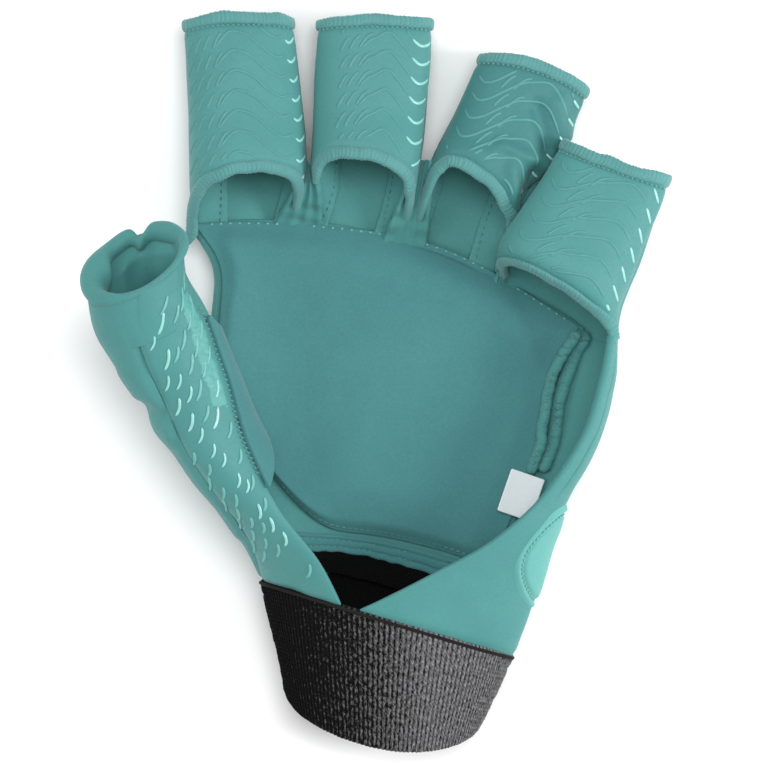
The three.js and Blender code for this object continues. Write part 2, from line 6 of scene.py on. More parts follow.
import bpy
import numpy as np
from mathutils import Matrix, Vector


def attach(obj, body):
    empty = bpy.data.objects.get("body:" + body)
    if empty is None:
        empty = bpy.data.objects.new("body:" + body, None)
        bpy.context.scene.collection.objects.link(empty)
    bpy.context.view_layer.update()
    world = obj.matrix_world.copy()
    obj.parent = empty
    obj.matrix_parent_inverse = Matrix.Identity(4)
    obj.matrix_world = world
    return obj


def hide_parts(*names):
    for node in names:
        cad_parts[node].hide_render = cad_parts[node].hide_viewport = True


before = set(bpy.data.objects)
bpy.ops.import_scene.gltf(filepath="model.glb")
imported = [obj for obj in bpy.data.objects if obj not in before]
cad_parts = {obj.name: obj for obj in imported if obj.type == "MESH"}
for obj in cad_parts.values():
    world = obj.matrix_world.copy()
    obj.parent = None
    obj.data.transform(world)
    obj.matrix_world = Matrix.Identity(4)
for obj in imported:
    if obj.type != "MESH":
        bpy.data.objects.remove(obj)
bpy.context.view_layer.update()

MM = 0.001
SHIFT = np.array([-0.116, 0.091, 0.0])  # from the drawing's origin to the middle of the footprint

# Photograph: its size, its scale, and the pixel that stands over the drawing's origin
PHOTO_PIXELS = (759, 765)
MM_PER_PIXEL = 0.28
ORIGIN_PIXEL = (377.5, 380.0)

# Camera: straight above, far enough away that heights hardly shift in the picture
CAMERA_HEIGHT = 2.0
FOCUS_HEIGHT = 0.022
SENSOR = 36.0

# Wall thicknesses and gaps, as in the solids
FABRIC = 1.8
GRIP_FABRIC = 1.5
FINGER_PADDING = 3.0
SHELL_CENTRE = 7.0
SHELL_EDGE = 3.0
LINING_PAD = 2.4
LINING_EDGE = 1.0
FACING = 1.2
LAP = 1.2
ELASTIC = 2.0
LABEL = 0.5
HEM_WIDTH = 3.6
HEM_THICKNESS = 2.6
HEM_SET = 0.7
SEAM_DEGREES = 0.8
FINGER_SEAM = 1.2
SEAM_GAP = 0.35
ROOT_LIFT = 2.6
CUFF_GAP = 0.6
SHELL_REACH = 0.985
BACK_BOW = 12.6

# Thumb and side sections, as in the solids
THUMB_COLUMNS = ("x", "y", "z", "half", "rise", "turn", "lean", "edge", "grip", "seam")
THUMB_ROWS = (
    (-67.3, 34.5, 41.5, 14.9, 12.4, 26, 38, 0.5, 103, 359.5),
    (-66.2, 22.4, 37.5, 14.7, 12.4, 26, 32, 12, 108, 370.5),
    (-60.6, 12.0, 32.5, 15.2, 12.8, 22, 24, 27, 114, 376),
    (-53.8, -1.4, 27.5, 14.0, 14.0, 18, 15, 34, 121, 298),
    (-45.0, -18.2, 24.0, 13.4, 14.5, 7, 8, 50, 129, 268),
    (-30.6, -35.8, 21.0, 16.0, 14.8, -3, 4, 76, 141, 248),
    (-13.3, -51.8, 18.0, 25.0, 14.8, -10, 0, 97, 155, 234),
    (2.7, -66.9, 15.5, 36.9, 14.5, -16.7, 0, 112, 176, 222),
)
SIDE_COLUMNS = ("x", "y", "z", "half", "rise", "turn", "lean", "seam", "edge")
SIDE_ROWS = (
    (54.8, 15.4, 22.5, 13.6, 15.5, -22, 0, -72, 30),
    (49.8, 1.4, 22.5, 16.6, 15.5, -12, 0, -84, 35),
    (45.3, -14.0, 22.0, 17.4, 15.5, -8, 0, -78, 41),
    (36.5, -29.4, 21.0, 18.2, 15.2, -7, 0, -66, 48),
    (25.2, -42.6, 19.0, 23.2, 15.0, -10, 0, -57, 67),
    (13.3, -52.4, 17.0, 31.9, 14.8, -14, 0, -50, 82),
    (2.7, -66.9, 15.5, 36.9, 14.5, -16.7, 0, -42, 103),
)
THUMB_LAST = len(THUMB_ROWS) - 1
SIDE_LAST = len(SIDE_ROWS) - 1
CROTCH_ROW = 3
CROTCH_EDGE = ((-53.2, 42.6, 7.0), (-46.9, 31.0, 9.0), (-47.6, 17.0, 12.0))
KEEL_RISE = {"roots": 2.4, "to": 0.3, "from": 0.8, "wrist": 1.0}

# Finger tubes, as in the solids
SECTION_COLUMNS = ("along", "x", "y", "z", "half", "turn", "roll", "up", "down", "bow")
FINGERS = {
    "index": {
        "root": {"from": -0.985, "to": -0.49, "up": 5.5, "share": 1, "wrap": 0},
        "arch": ((12, 4.5), (30, 11.5), (60, 14.8), (90, 15.4), (120, 12.8), (150, 8.0), (168, 2.4)),
        "sections": (
            (12, -36.6, 56.0, 14.0, 16.4, 0, 0, 11.0, 11.0, 0),
            (31, -37.1, 75.6, 12.5, 16.4, 0, 0, 9.5, 10.0, 0.5),
            (58, -39.3, 101.8, 10.5, 15.5, 1.6, 0, 6.8, 8.2, 1.8),
        ),
    },
    "middle": {
        "root": {"from": -0.455, "to": 0.085, "up": 5.5, "share": 1, "wrap": 0},
        "arch": ((12, 5.0), (30, 11.8), (60, 16.3), (90, 19.0), (120, 19.2), (150, 15.5), (168, 7.5)),
        "sections": (
            (12, -4.2, 55.4, 14.5, 15.5, -2, 0, 11.0, 11.5, 0),
            (31, -2.2, 75.6, 12.8, 16.2, -2, 0, 9.5, 10.3, 0.4),
            (59, -0.6, 101.6, 10.5, 16.3, 0, 0, 6.8, 8.2, 1.2),
        ),
    },
    "ring": {
        "root": {"from": 0.12, "to": 0.555, "up": 5.5, "share": 1, "wrap": 0},
        "arch": ((12, 7.0), (30, 13.0), (60, 16.6), (90, 20.6), (120, 22.0), (150, 18.5), (168, 7.0)),
        "sections": (
            (17, 27.4, 53.0, 14.0, 14.7, -22, -6, 10.0, 11.0, 0),
            (35, 36.9, 69.9, 12.6, 16.3, -20, -4, 8.6, 9.6, 1.2),
            (55, 44.5, 87.0, 11.0, 16.2, -17.6, -2, 6.6, 8.0, 3.2),
        ),
    },
    "little": {
        "root": {"from": 0.59, "to": 0.985, "up": 5.5, "share": 0.78, "wrap": 16},
        "arch": ((12, 2.2), (60, 5.2), (90, 7.0), (120, 7.3), (168, 4.8)),
        "sections": (
            (9, 51.0, 28.3, 22.0, 19.4, -25, 6, 12.0, 14.0, 0),
            (23, 57.4, 41.0, 22.2, 18.2, -24, 5, 10.0, 11.5, 0),
            (46, 67.4, 62.4, 20.5, 16.0, -19, 4, 7.0, 8.2, -0.7),
        ),
    },
}

# Cuff, pads, label, gusset and rim, as in the solids
CUFF_FOOT = {"x": 1.5, "y": -90.5, "z": 12.6, "half": 28.4, "rise": 11.2, "turn": -9.1, "lean": 0}
CUFF_PALM_DROP = 12.3
CUFF_BACK_DROP = 1.5
CUFF_FRONT = 0.7
SIDE_PAD_PLACE = {"start": 3.15, "end": 5.32, "middle": 3, "spread": 90, "power": 0.45}
PAD_REACH = {"end": 0.886, "thumb": -0.93, "little": 0.94, "bow": 0.105, "corner": 0.3, "lift": 0.15}
FACING_ROWS = (0.22, 0.72)  # the stitch rows, as shares of the facing's width
FACING_REACH = {"start": 0.91, "end": 0.962, "side": 0.88, "bow": 0.11}
LAP_REACH = {"start": 0.955, "end": 1.05, "side": 0.88, "bow": 0.11}
LABEL_PLACE = {"x": 40.4, "y": -32.4, "z": 10.7, "width": 9.6, "length": 12, "turn": -19, "curl": 0.4}
GUSSET = {"start": 1.85, "high_end": 4.6, "low_end": 3.6, "lift": 27}
RIM_ROWS = 0.4


# Curves and surfaces


def lerp(a, b, t):
    return a + (b - a) * t


def eased(value):
    value = np.clip(value, 0, 1)
    return value * value * (3 - 2 * value)


def bell(offset, width):
    """1 where the offset is nothing, fading within about a width on both sides."""
    return np.exp(-((offset / width) ** 2))


def level(line, value):
    """One value for every place of a line."""
    return np.full(len(line), float(value))


def weights(knots, at):
    """How much each knot's value counts at a place: cubic Hermite with slopes from the neighbours."""
    knots = np.asarray(knots, float)
    at = np.asarray(at, float)
    last = len(knots) - 1
    order = np.arange(last + 1)
    before = np.maximum(order - 1, 0)
    after = np.minimum(order + 1, last)
    own = np.eye(last + 1)
    slope = (own[after] - own[before]) / (knots[after] - knots[before])[:, None]
    i = np.clip(np.searchsorted(knots, at) - 1, 0, last - 1)
    span = knots[i + 1] - knots[i]
    t = (at - knots[i]) / span
    t2 = t * t
    t3 = t2 * t
    parts = (
        (2 * t3 - 3 * t2 + 1, own[i]),
        ((t3 - 2 * t2 + t) * span, slope[i]),
        (3 * t2 - 2 * t3, own[i + 1]),
        ((t3 - t2) * span, slope[i + 1]),
    )
    return sum(amount[..., None] * basis for amount, basis in parts)


def row_at(columns, rows, at):
    """Every named column of a table at a place along it, in units of one row."""
    values = weights(range(len(rows)), at) @ np.asarray(rows, float)
    return {name: values[..., k] for k, name in enumerate(columns)}


def section_point(row, degrees):
    """A point of an elliptical section at an angle, counted from its +X end over its top."""
    angle = np.radians(degrees)
    turn = np.radians(row["turn"])
    lean = np.radians(row["lean"])
    across = row["half"] * np.cos(angle)
    up = row["rise"] * np.sin(angle)
    back = up * np.sin(lean)
    x = row["x"] + across * np.cos(turn) + back * np.sin(turn)
    y = row["y"] + across * np.sin(turn) - back * np.cos(turn)
    return np.stack(np.broadcast_arrays(x, y, row["z"] + up * np.cos(lean)), -1)


def thumb_row(at):
    return row_at(THUMB_COLUMNS, THUMB_ROWS, at)


def side_row(at):
    return row_at(SIDE_COLUMNS, SIDE_ROWS, at)


def seam_of(columns, rows, first):
    points = [section_point(dict(zip(columns, row)), row[columns.index("seam")]) for row in rows[first:]]
    return np.array(points)


THUMB_SIDE = np.vstack([np.array(CROTCH_EDGE), seam_of(THUMB_COLUMNS, THUMB_ROWS, CROTCH_ROW)])
LITTLE_SIDE = seam_of(SIDE_COLUMNS, SIDE_ROWS, 0)


def back_point(across, along):
    """The underside of the padded back: across runs from -1 at the thumb to 1 at the little finger."""
    across, along = np.broadcast_arrays(np.asarray(across, float), np.asarray(along, float))
    left = weights(np.linspace(0, 1, len(THUMB_SIDE)), along) @ THUMB_SIDE
    right = weights(np.linspace(0, 1, len(LITTLE_SIDE)), along) @ LITTLE_SIDE
    point = lerp(left, right, ((across + 1) / 2)[..., None])
    point[..., 1] += BACK_BOW * (1 - across * across)
    keel = KEEL_RISE["roots"] * np.maximum(0, 1 - along / KEEL_RISE["to"]) ** 2
    past = np.maximum(0, (along - KEEL_RISE["from"]) / (1 - KEEL_RISE["from"]))
    keel = keel + KEEL_RISE["wrist"] * past**2
    side = np.where(across < 0, left[..., 2], right[..., 2])
    dish = np.maximum(0, (np.abs(across) - 0.35) / 0.65)
    point[..., 2] = np.maximum(0, lerp(keel, side, dish**2.2))
    return point


def shell_thickness(across, along):
    ends = np.minimum(1, np.minimum(along / 0.14, (1.04 - along) / 0.3))
    return lerp(SHELL_EDGE, SHELL_CENTRE, (1 - np.abs(across) ** 3) * np.maximum(0, ends) ** 0.7)


def unit(v):
    return v / np.maximum(1e-9, np.linalg.norm(v, axis=-1, keepdims=True))


def normals(surface, s, t, step=1e-3):
    ds = surface(s + step, t) - surface(s - step, t)
    dt = surface(s, t + step) - surface(s, t - step)
    return unit(np.cross(ds, dt))


def above_padding(across, along, height):
    """A place inside the padded back, a height above the shell's inner face and square to it."""
    depth = shell_thickness(across, along) + height
    return back_point(across, along) - normals(back_point, across, along) * depth[..., None]


def turned(points, roll, turn):
    """Points rolled about Y, then turned about Z, both in degrees."""
    a = np.radians(-roll)
    x = points[..., 0] * np.cos(a) + points[..., 2] * np.sin(a)
    z = -points[..., 0] * np.sin(a) + points[..., 2] * np.cos(a)
    b = np.radians(turn)
    y = x * np.sin(b) + points[..., 1] * np.cos(b)
    return np.stack([x * np.cos(b) - points[..., 1] * np.sin(b), y, z], -1)


def tube_point(row, degrees):
    angle = np.radians(degrees)
    sine, cosine = np.sin(angle), np.cos(angle)
    height = np.where(sine > 0, row["up"], row["down"])
    x = row["half"] * np.sign(cosine) * np.abs(cosine) ** 0.8
    z = height * np.sign(sine) * np.abs(sine) ** 0.8
    flat = np.stack([x, row["bow"] * sine**2, z], -1)
    return turned(flat, row["roll"], row["turn"]) + np.array([row["x"], row["y"], row["z"]])


def root_line(root, share):
    """A finger root's line along the shell's edge, then up the top of the side panel where it wraps."""
    share = np.asarray(share, float)
    along_back = back_point(lerp(root["from"], root["to"], share / root["share"]), np.zeros_like(share))
    if root["share"] == 1:
        return along_back
    row = dict(zip(SIDE_COLUMNS, SIDE_ROWS[0]))
    over = (share - root["share"]) / (1 - root["share"])
    up_side = section_point(row, lerp(row["seam"], root["wrap"], over))
    return np.where((share <= root["share"])[..., None], along_back, up_side)


def root_point(root, degrees):
    angle = np.radians(degrees)
    share = (1 + np.cos(angle)) / 2
    sine = np.maximum(0, np.sin(angle))
    ends = root_line(root, np.array([0.0, 1.0]))
    front = lerp(ends[0], ends[1], share[..., None])
    front[..., 2] += lerp(ROOT_LIFT, root["up"], sine**0.5)
    return np.where((np.sin(angle) <= 0)[..., None], root_line(root, share), front)


def finger_point(finger, degrees, along):
    degrees, along = np.broadcast_arrays(np.asarray(degrees, float), np.asarray(along, float))
    rows = [dict(zip(SECTION_COLUMNS, row)) for row in finger["sections"]]
    share = weights([0] + [row["along"] for row in rows], along)
    point = share[..., :1] * root_point(finger["root"], degrees)
    for k, row in enumerate(rows):
        point = point + share[..., k + 1 : k + 2] * tube_point(row, degrees)
    return point


def arch_at(arch, degrees):
    """How far along the finger a mouth hem's middle line runs at an angle."""
    angles, along = np.array(arch, float).T
    return weights(angles, np.clip(degrees, angles[0], angles[-1])) @ along


def soft_noise(points, wavelength, seed, count=14):
    """Smooth noise between about -1 and 1, from plane waves in random directions."""
    rng = np.random.default_rng(seed)
    total = np.zeros(points.shape[:-1])
    for _ in range(count):
        direction = unit(rng.normal(size=3)) * 2 * np.pi / (wavelength * rng.uniform(0.7, 1.5))
        total += np.sin(points @ direction + rng.uniform(0, 2 * np.pi))
    return total / math.sqrt(count)


def photo_plan(x, y):
    """A pixel of the photograph as a place in plan."""
    return np.array([(x - ORIGIN_PIXEL[0]) * MM_PER_PIXEL, (ORIGIN_PIXEL[1] - y) * MM_PER_PIXEL])


def crease(points, start, end, width, height):
    """A ridge, or a valley where the height is negative, along a line between two pixels, in plan."""
    a, b = photo_plan(*start), photo_plan(*end)
    along = b - a
    offset = points[..., :2] - a
    share = offset @ along / (along @ along)
    aside = (offset[..., 0] * along[1] - offset[..., 1] * along[0]) / np.linalg.norm(along)
    ends = np.clip(np.minimum(share, 1 - share) / 0.3 + 0.5, 0, 1)
    return height * bell(aside, width) * ends * ends * (3 - 2 * ends)


# Meshes


def make_mesh(name, points, quads, uv, material, inside=None, inner=None):
    """A closed mesh of quads from points in millimetres, its faces turned out."""
    points = (points + SHIFT) * MM
    corner = points[quads]
    volume = np.einsum("ij,ij->", corner[:, 0], np.cross(corner[:, 1], corner[:, 2]))
    volume += np.einsum("ij,ij->", corner[:, 0], np.cross(corner[:, 2], corner[:, 3]))
    if volume < 0:
        quads = quads[:, ::-1]
    mesh = bpy.data.meshes.new(name)
    mesh.vertices.add(len(points))
    mesh.vertices.foreach_set("co", points.astype(np.float32).ravel())
    mesh.loops.add(quads.size)
    mesh.loops.foreach_set("vertex_index", quads.astype(np.int32).ravel())
    mesh.polygons.add(len(quads))
    mesh.polygons.foreach_set("loop_start", np.arange(0, quads.size, 4, dtype=np.int32))
    mesh.polygons.foreach_set("use_smooth", np.ones(len(quads), bool))
    layer = mesh.uv_layers.new(name="cloth")
    layer.data.foreach_set("uv", (uv[quads.ravel()] * MM).astype(np.float32).ravel())
    mesh.materials.append(material)
    if inside:
        mesh.materials.append(inside)
        mesh.polygons.foreach_set("material_index", inner.astype(np.int32))
    mesh.update()
    piece = bpy.data.objects.new(name, mesh)
    bpy.context.scene.collection.objects.link(piece)
    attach(piece, "root")
    return piece


def lengths(points, axis):
    """Distance run along a grid's axis, from its start."""
    steps = np.linalg.norm(np.diff(points, axis=axis), axis=-1)
    start = np.zeros_like(np.take(steps, [0], axis=axis))
    return np.concatenate([start, np.cumsum(steps, axis=axis)], axis=axis)


def wall(
    name, surface, across, along, outer, inner, material, looped=False, bulge=0.3, sway=None,
    tuck=None, inside=None, chart=None,
):
    """Closed cloth wall from outer, outside the surface, to inner, inside it, with rounded rims.

    Sway moves both faces out along the normal. Tuck sinks the outer face towards the edges that it names,
    as where a panel is pulled in by its seam: edge to (depth, width). Inside is the look of the inner faces.
    A chart gives the cloth's own coordinates where they aren't the distances run.
    """
    s, t = np.meshgrid(np.linspace(0, 1, across + 1), np.linspace(0, 1, along + 1))
    points = surface(s, t)
    normal = normals(surface, s, t)
    u, v = lengths(points, 1), lengths(points, 0)
    place = {"s": s, "t": t, "u": u, "v": v, "points": points}
    value = lambda x: x(place) if callable(x) else np.full(s.shape, float(x))
    if sway:
        points = points + normal * sway(place)[..., None]
    out, into = value(outer), value(inner)
    away = {"s0": u, "s1": u[:, -1:] - u, "t0": v, "t1": v[-1:] - v}
    for edge, (depth, width) in (tuck or {}).items():
        out = out - depth * bell(away[edge], width)
    front = points + normal * out[..., None]
    behind = points - normal * into[..., None]
    ds = unit(np.gradient(points, axis=1))
    dt = unit(np.gradient(points, axis=0))
    columns = across if looped else across + 1
    grid = np.arange((along + 1) * columns).reshape(along + 1, columns)
    half = grid.size
    front, behind = front[:, :columns], behind[:, :columns]
    flat_uv = np.stack(chart(place) if chart else [u, v], -1)[:, :columns].reshape(-1, 2)
    right = np.roll(grid, -1, 1) if looped else grid[:, 1:]
    here = grid if looped else grid[:, :-1]
    faces = np.stack([here[:-1], right[:-1], right[1:], here[1:]], -1).reshape(-1, 4)
    if looped:
        loops = [(grid[0], -dt[0, :columns]), (grid[-1, ::-1], dt[-1, :columns][::-1])]
    else:
        ring = np.concatenate([grid[0, :-1], grid[:-1, -1], grid[-1, :0:-1], grid[:0:-1, 0]])
        outward = np.concatenate([-dt[0, :-1], ds[:-1, -1], dt[-1, :0:-1], -ds[:0:-1, 0]])
        loops = [(ring, outward)]
    stack = [front.reshape(-1, 3), behind.reshape(-1, 3)]
    uvs = [flat_uv, flat_uv]
    quads = [faces, faces[:, ::-1] + half]
    count = 2 * half
    rim = 5
    for ring, outward in loops:
        top, low = stack[0][ring], stack[1][ring]
        middle, reach = (top + low) / 2, (top - low) / 2
        radius = np.linalg.norm(reach, axis=-1, keepdims=True)
        rows = [ring]
        for k in range(1, rim):
            angle = np.pi * k / rim
            stack.append(middle + reach * math.cos(angle) + outward * radius * bulge * math.sin(angle))
            uvs.append(flat_uv[ring])
            rows.append(count + np.arange(len(ring)))
            count += len(ring)
        rows.append(ring + half)
        for upper, lower in zip(rows, rows[1:]):
            quads.append(np.stack([np.roll(upper, -1), upper, lower, np.roll(lower, -1)], -1))
    quads = np.vstack(quads)
    order = np.arange(len(quads))
    behind_face = (order >= len(faces)) & (order < 2 * len(faces))
    return make_mesh(name, np.vstack(stack), quads, np.vstack(uvs), material, inside, behind_face)


def tube_quads(grid, looped):
    """Quads between a tube's rings of points, its open ends closed."""
    after = np.roll(grid, -1, 0) if looped else grid[1:]
    here = grid if looped else grid[:-1]
    quads = [np.stack([here, after, np.roll(after, -1, 1), np.roll(here, -1, 1)], -1).reshape(-1, 4)]
    if not looped:
        for end, flip in ((grid[0], 1), (grid[-1], -1)):
            cap = [(end[k], end[k + 1], end[-k - 2], end[-k - 1]) for k in range(len(end) // 2 - 1)]
            quads.append(np.array(cap)[:, ::flip])
    return quads


def beads(name, paths, material, around=8):
    """Closed rounded strands in one mesh. A path: its centres, half widths, half heights, and if it loops."""
    points, quads, uvs, count = [], [], [], 0
    angle = 2 * np.pi * (np.arange(around) + 0.5) / around
    for centres, wide, thick, looped in paths:
        stations = len(centres)
        ring = centres[:, None] + wide[:, None] * np.cos(angle)[None, :, None]
        ring = ring + thick[:, None] * np.sin(angle)[None, :, None]
        run = lengths(centres[:, None], 0)[:, 0]
        girth = np.linalg.norm(wide, axis=-1).mean() * 2 * np.pi / around
        uv = np.stack(np.broadcast_arrays(run[:, None], np.arange(around)[None] * girth), -1)
        quads += tube_quads(count + np.arange(stations * around).reshape(stations, around), looped)
        points.append(ring.reshape(-1, 3))
        uvs.append(uv.reshape(-1, 2))
        count += stations * around
    return make_mesh(name, np.vstack(points), np.vstack(quads), np.vstack(uvs), material)


def strand(centres, normal, width, height, taper):
    """A path for beads: a strand on a surface, its width and height in millimetres, its ends tapered."""
    along = unit(np.gradient(centres, axis=0))
    aside = unit(np.cross(normal, along))
    share = np.linspace(0, 1, len(centres))
    ends = np.clip(np.minimum(share, 1 - share) / taper, 0, 1)
    size = np.maximum(0.08, np.sqrt(np.clip(ends * (2 - ends), 0, 1)))[:, None]
    return centres, aside * size * width / 2, normal * size * height / 2, False


def resample(points, normal, pitch):
    """Points and normals at an even pitch along a line, with the line's direction there."""
    run = lengths(points[:, None], 0)[:, 0]
    count = max(2, int(run[-1] / pitch))
    at = (np.arange(count) + 0.5) / count * run[-1]
    place = np.stack([np.interp(at, run, points[:, k]) for k in range(3)], -1)
    facing = unit(np.stack([np.interp(at, run, normal[:, k]) for k in range(3)], -1))
    along = unit(np.gradient(place, axis=0))
    return place, facing, along


def stitch_paths(points, normal, pitch=2.0, length=1.3, width=0.5, height=0.45, slant=0.0, lift=0.1):
    """A row of stitches along a line: each one a short strand that dives into the cloth at both ends."""
    place, facing, along = resample(points, normal, pitch)
    aside = unit(np.cross(facing, along))
    angle = math.radians(slant)
    direction = along * math.cos(angle) + aside * math.sin(angle)
    share = np.linspace(-1, 1, 7)
    paths = []
    for p, n, d in zip(place, facing, direction):
        line = p + d * (share * length / 2)[:, None] + n * (lift + height * 0.4 * (0.6 - share**2))[:, None]
        paths.append(strand(line, n, width, height, 0.3))
    return paths


# Materials


def nodes_of(name):
    material = bpy.data.materials.new(name)
    material.use_nodes = True
    tree = material.node_tree
    shader = tree.nodes["Principled BSDF"]
    return material, tree, shader


def wire(tree, node, links, **values):
    """Sets a node's properties and inputs by name, and links inputs from other nodes' outputs."""
    for key, value in values.items():
        if hasattr(node, key):
            setattr(node, key, value)
        else:
            node.inputs[key.replace("_", " ")].default_value = value
    for key, source in links.items():
        tree.links.new(source, node.inputs[key])
    return node


def add(tree, kind, links=None, **values):
    return wire(tree, tree.nodes.new(kind), links or {}, **values)


def mix_colour(tree, share, first, second):
    node = tree.nodes.new("ShaderNodeMix")
    node.data_type = "RGBA"
    tree.links.new(share, node.inputs[0])
    for socket, value in ((node.inputs[6], first), (node.inputs[7], second)):
        if isinstance(value, tuple):
            socket.default_value = (*value, 1)
        else:
            tree.links.new(value, socket)
    return node.outputs[2]


def arithmetic(tree, operation, first, second):
    node = tree.nodes.new("ShaderNodeMath")
    node.operation = operation
    for socket, value in zip(node.inputs, (first, second)):
        if isinstance(value, (int, float)):
            socket.default_value = value
        else:
            tree.links.new(value, socket)
    return node.outputs[0]


def linear(r, g, b):
    """An 8-bit display colour as a linear one."""
    part = lambda c: (c / 255 / 12.92) if c <= 10 else ((c / 255 + 0.055) / 1.055) ** 2.4
    return tuple(part(c) for c in (r, g, b))


def weave_height(tree, pitch, twist=0.0):
    """Fine crossed threads, from the cloth's own coordinates."""
    place = add(tree, "ShaderNodeUVMap", uv_map="cloth").outputs[0]
    if twist:
        turn = {"rotation_type": "Z_AXIS", "Angle": math.radians(twist)}
        place = add(tree, "ShaderNodeVectorRotate", {"Vector": place}, **turn).outputs[0]
    split = add(tree, "ShaderNodeSeparateXYZ", {"Vector": place})
    turns = [arithmetic(tree, "MULTIPLY", split.outputs[k], 2 * math.pi / (pitch * MM)) for k in (0, 1)]
    waves = [arithmetic(tree, "SINE", turn, 0.0) for turn in turns]
    return arithmetic(tree, "MULTIPLY", *waves)


def noise(tree, place, **settings):
    """A cloudy noise at a place."""
    return add(tree, "ShaderNodeTexNoise", {"Vector": place}, **settings).outputs[0]


def plus(tree, first, second, share):
    """The first value plus a share of the second."""
    return arithmetic(tree, "ADD", first, arithmetic(tree, "MULTIPLY", second, share))


def ranged(tree, value, start, end, low, high):
    """A value taken from one range to another."""
    limits = {"From_Min": start, "From_Max": end, "To_Min": low, "To_Max": high}
    return add(tree, "ShaderNodeMapRange", {"Value": value}, **limits).outputs[0]


def bumped(tree, height, strength, depth):
    """The normal of a surface with a height in its look only, its depth in millimetres."""
    return add(tree, "ShaderNodeBump", {"Height": height}, Strength=strength, Distance=depth * MM).outputs[0]


def cloth(name, colour, dark, roughness=0.7, weave=0.6, weave_depth=0.06, mottle=0.35, sheen=0.25, twist=0.0):
    """Stretch cloth: two tones mottled together, a fine weave in its tone and bump, and a soft sheen."""
    material, tree, shader = nodes_of(name)
    spot = add(tree, "ShaderNodeTexCoord").outputs["Object"]
    broad = noise(tree, spot, Scale=55.0, Detail=3.0, Roughness=0.55)
    fine = noise(tree, spot, Scale=1400.0, Detail=2.0, Roughness=0.6)
    threads = weave_height(tree, weave, twist)
    tone = plus(tree, arithmetic(tree, "MULTIPLY", broad, mottle), fine, mottle * 0.8)
    links = {
        "Base Color": mix_colour(tree, plus(tree, tone, threads, 0.07), colour, dark),
        "Roughness": ranged(tree, fine, 0.3, 0.7, roughness - 0.08, roughness + 0.1),
        "Normal": bumped(tree, plus(tree, threads, fine, 2.2), 0.55, weave_depth),
    }
    wire(tree, shader, links, Sheen_Weight=sheen, Sheen_Roughness=0.45, Specular_IOR_Level=0.35)
    shader.inputs["Sheen Tint"].default_value = (*lerp(np.array(colour), 1, 0.5), 1)
    return material


def thread(name, colour, dark, roughness, sheen=0.3):
    """Twisted sewing thread, mottled along its length."""
    material, tree, shader = nodes_of(name)
    spot = add(tree, "ShaderNodeTexCoord").outputs["Object"]
    fine = noise(tree, spot, Scale=2600.0, Detail=2.0)
    broad = noise(tree, spot, Scale=120.0, Detail=2.0)
    share = arithmetic(tree, "MULTIPLY", arithmetic(tree, "ADD", fine, broad), 0.5)
    links = {
        "Base Color": mix_colour(tree, share, colour, dark),
        "Roughness": ranged(tree, fine, 0, 1, roughness - 0.1, roughness + 0.15),
        "Normal": bumped(tree, fine, 0.6, 0.12),
    }
    wire(tree, shader, links, Sheen_Weight=sheen)
    return material


def silicone(name, colour, dark, roughness, coat):
    """Printed silicone, slightly uneven, with something of the cloth's own tone."""
    material, tree, shader = nodes_of(name)
    spot = add(tree, "ShaderNodeTexCoord").outputs["Object"]
    fine = noise(tree, spot, Scale=500.0, Detail=2.0)
    links = {
        "Base Color": mix_colour(tree, fine, colour, dark),
        "Roughness": ranged(tree, fine, 0.3, 0.7, roughness, roughness + 0.16),
        "Normal": bumped(tree, fine, 0.25, 0.1),
    }
    wire(tree, shader, links, Specular_IOR_Level=0.5, Coat_Weight=coat, Coat_Roughness=0.15)
    return material


def knit(name, colour, pale, wear_and_painted_shade, rib):
    """Heathered knitted elastic: black threads with grey yarn, more on the ribs' crests as a painted
    highlight, less towards -X as painted shade.
    """
    material, tree, shader = nodes_of(name)
    place = add(tree, "ShaderNodeUVMap", uv_map="cloth").outputs[0]
    stretch = add(tree, "ShaderNodeMapping", {"Vector": place})
    stretch.inputs["Scale"].default_value = (1900, 700, 1)
    yarn = noise(tree, stretch.outputs[0], Scale=1.0, Detail=3.0, Roughness=0.7)
    spot = add(tree, "ShaderNodeTexCoord").outputs["Object"]
    sideways = add(tree, "ShaderNodeSeparateXYZ", {"Vector": spot}).outputs[0]
    # Less grey yarn towards -X: a painted shade, darker on the side away from the key light at +X.
    value = arithmetic(tree, "ADD", yarn, ranged(tree, sideways, -0.026, 0.014, -wear_and_painted_shade, 0))
    across = add(tree, "ShaderNodeSeparateXYZ", {"Vector": place}).outputs[0]
    wave = arithmetic(tree, "SINE", arithmetic(tree, "MULTIPLY", across, math.pi / rib), 0)
    # More grey yarn on the ribs' crests: a painted highlight where the ribs catch the light.
    crest = arithmetic(tree, "SUBTRACT", arithmetic(tree, "ABSOLUTE", wave, 0), 0.62)
    share = ranged(tree, plus(tree, value, crest, 0.16), 0.33, 0.74, 0, 1)
    links = {
        "Base Color": mix_colour(tree, share, colour, pale),
        "Normal": bumped(tree, plus(tree, weave_height(tree, 1.15), yarn, 1.6), 0.8, 0.22),
    }
    wire(tree, shader, links, Roughness=0.9, Sheen_Weight=0.02, Sheen_Roughness=0.5, Specular_IOR_Level=0.12)
    return material


TEAL = linear(72, 139, 136)
TEAL_DARK = linear(52, 110, 110)
LINING_TONE = linear(70, 130, 131)
LINING_DARK = linear(52, 106, 110)
THREAD_TONE = linear(80, 148, 146)
PLAIN_CLOTH = {"weave": 0.42, "weave_depth": 0.035}
GRIP_CLOTH = {"roughness": 0.52, "weave": 0.5, "weave_depth": 0.04, "twist": 45}

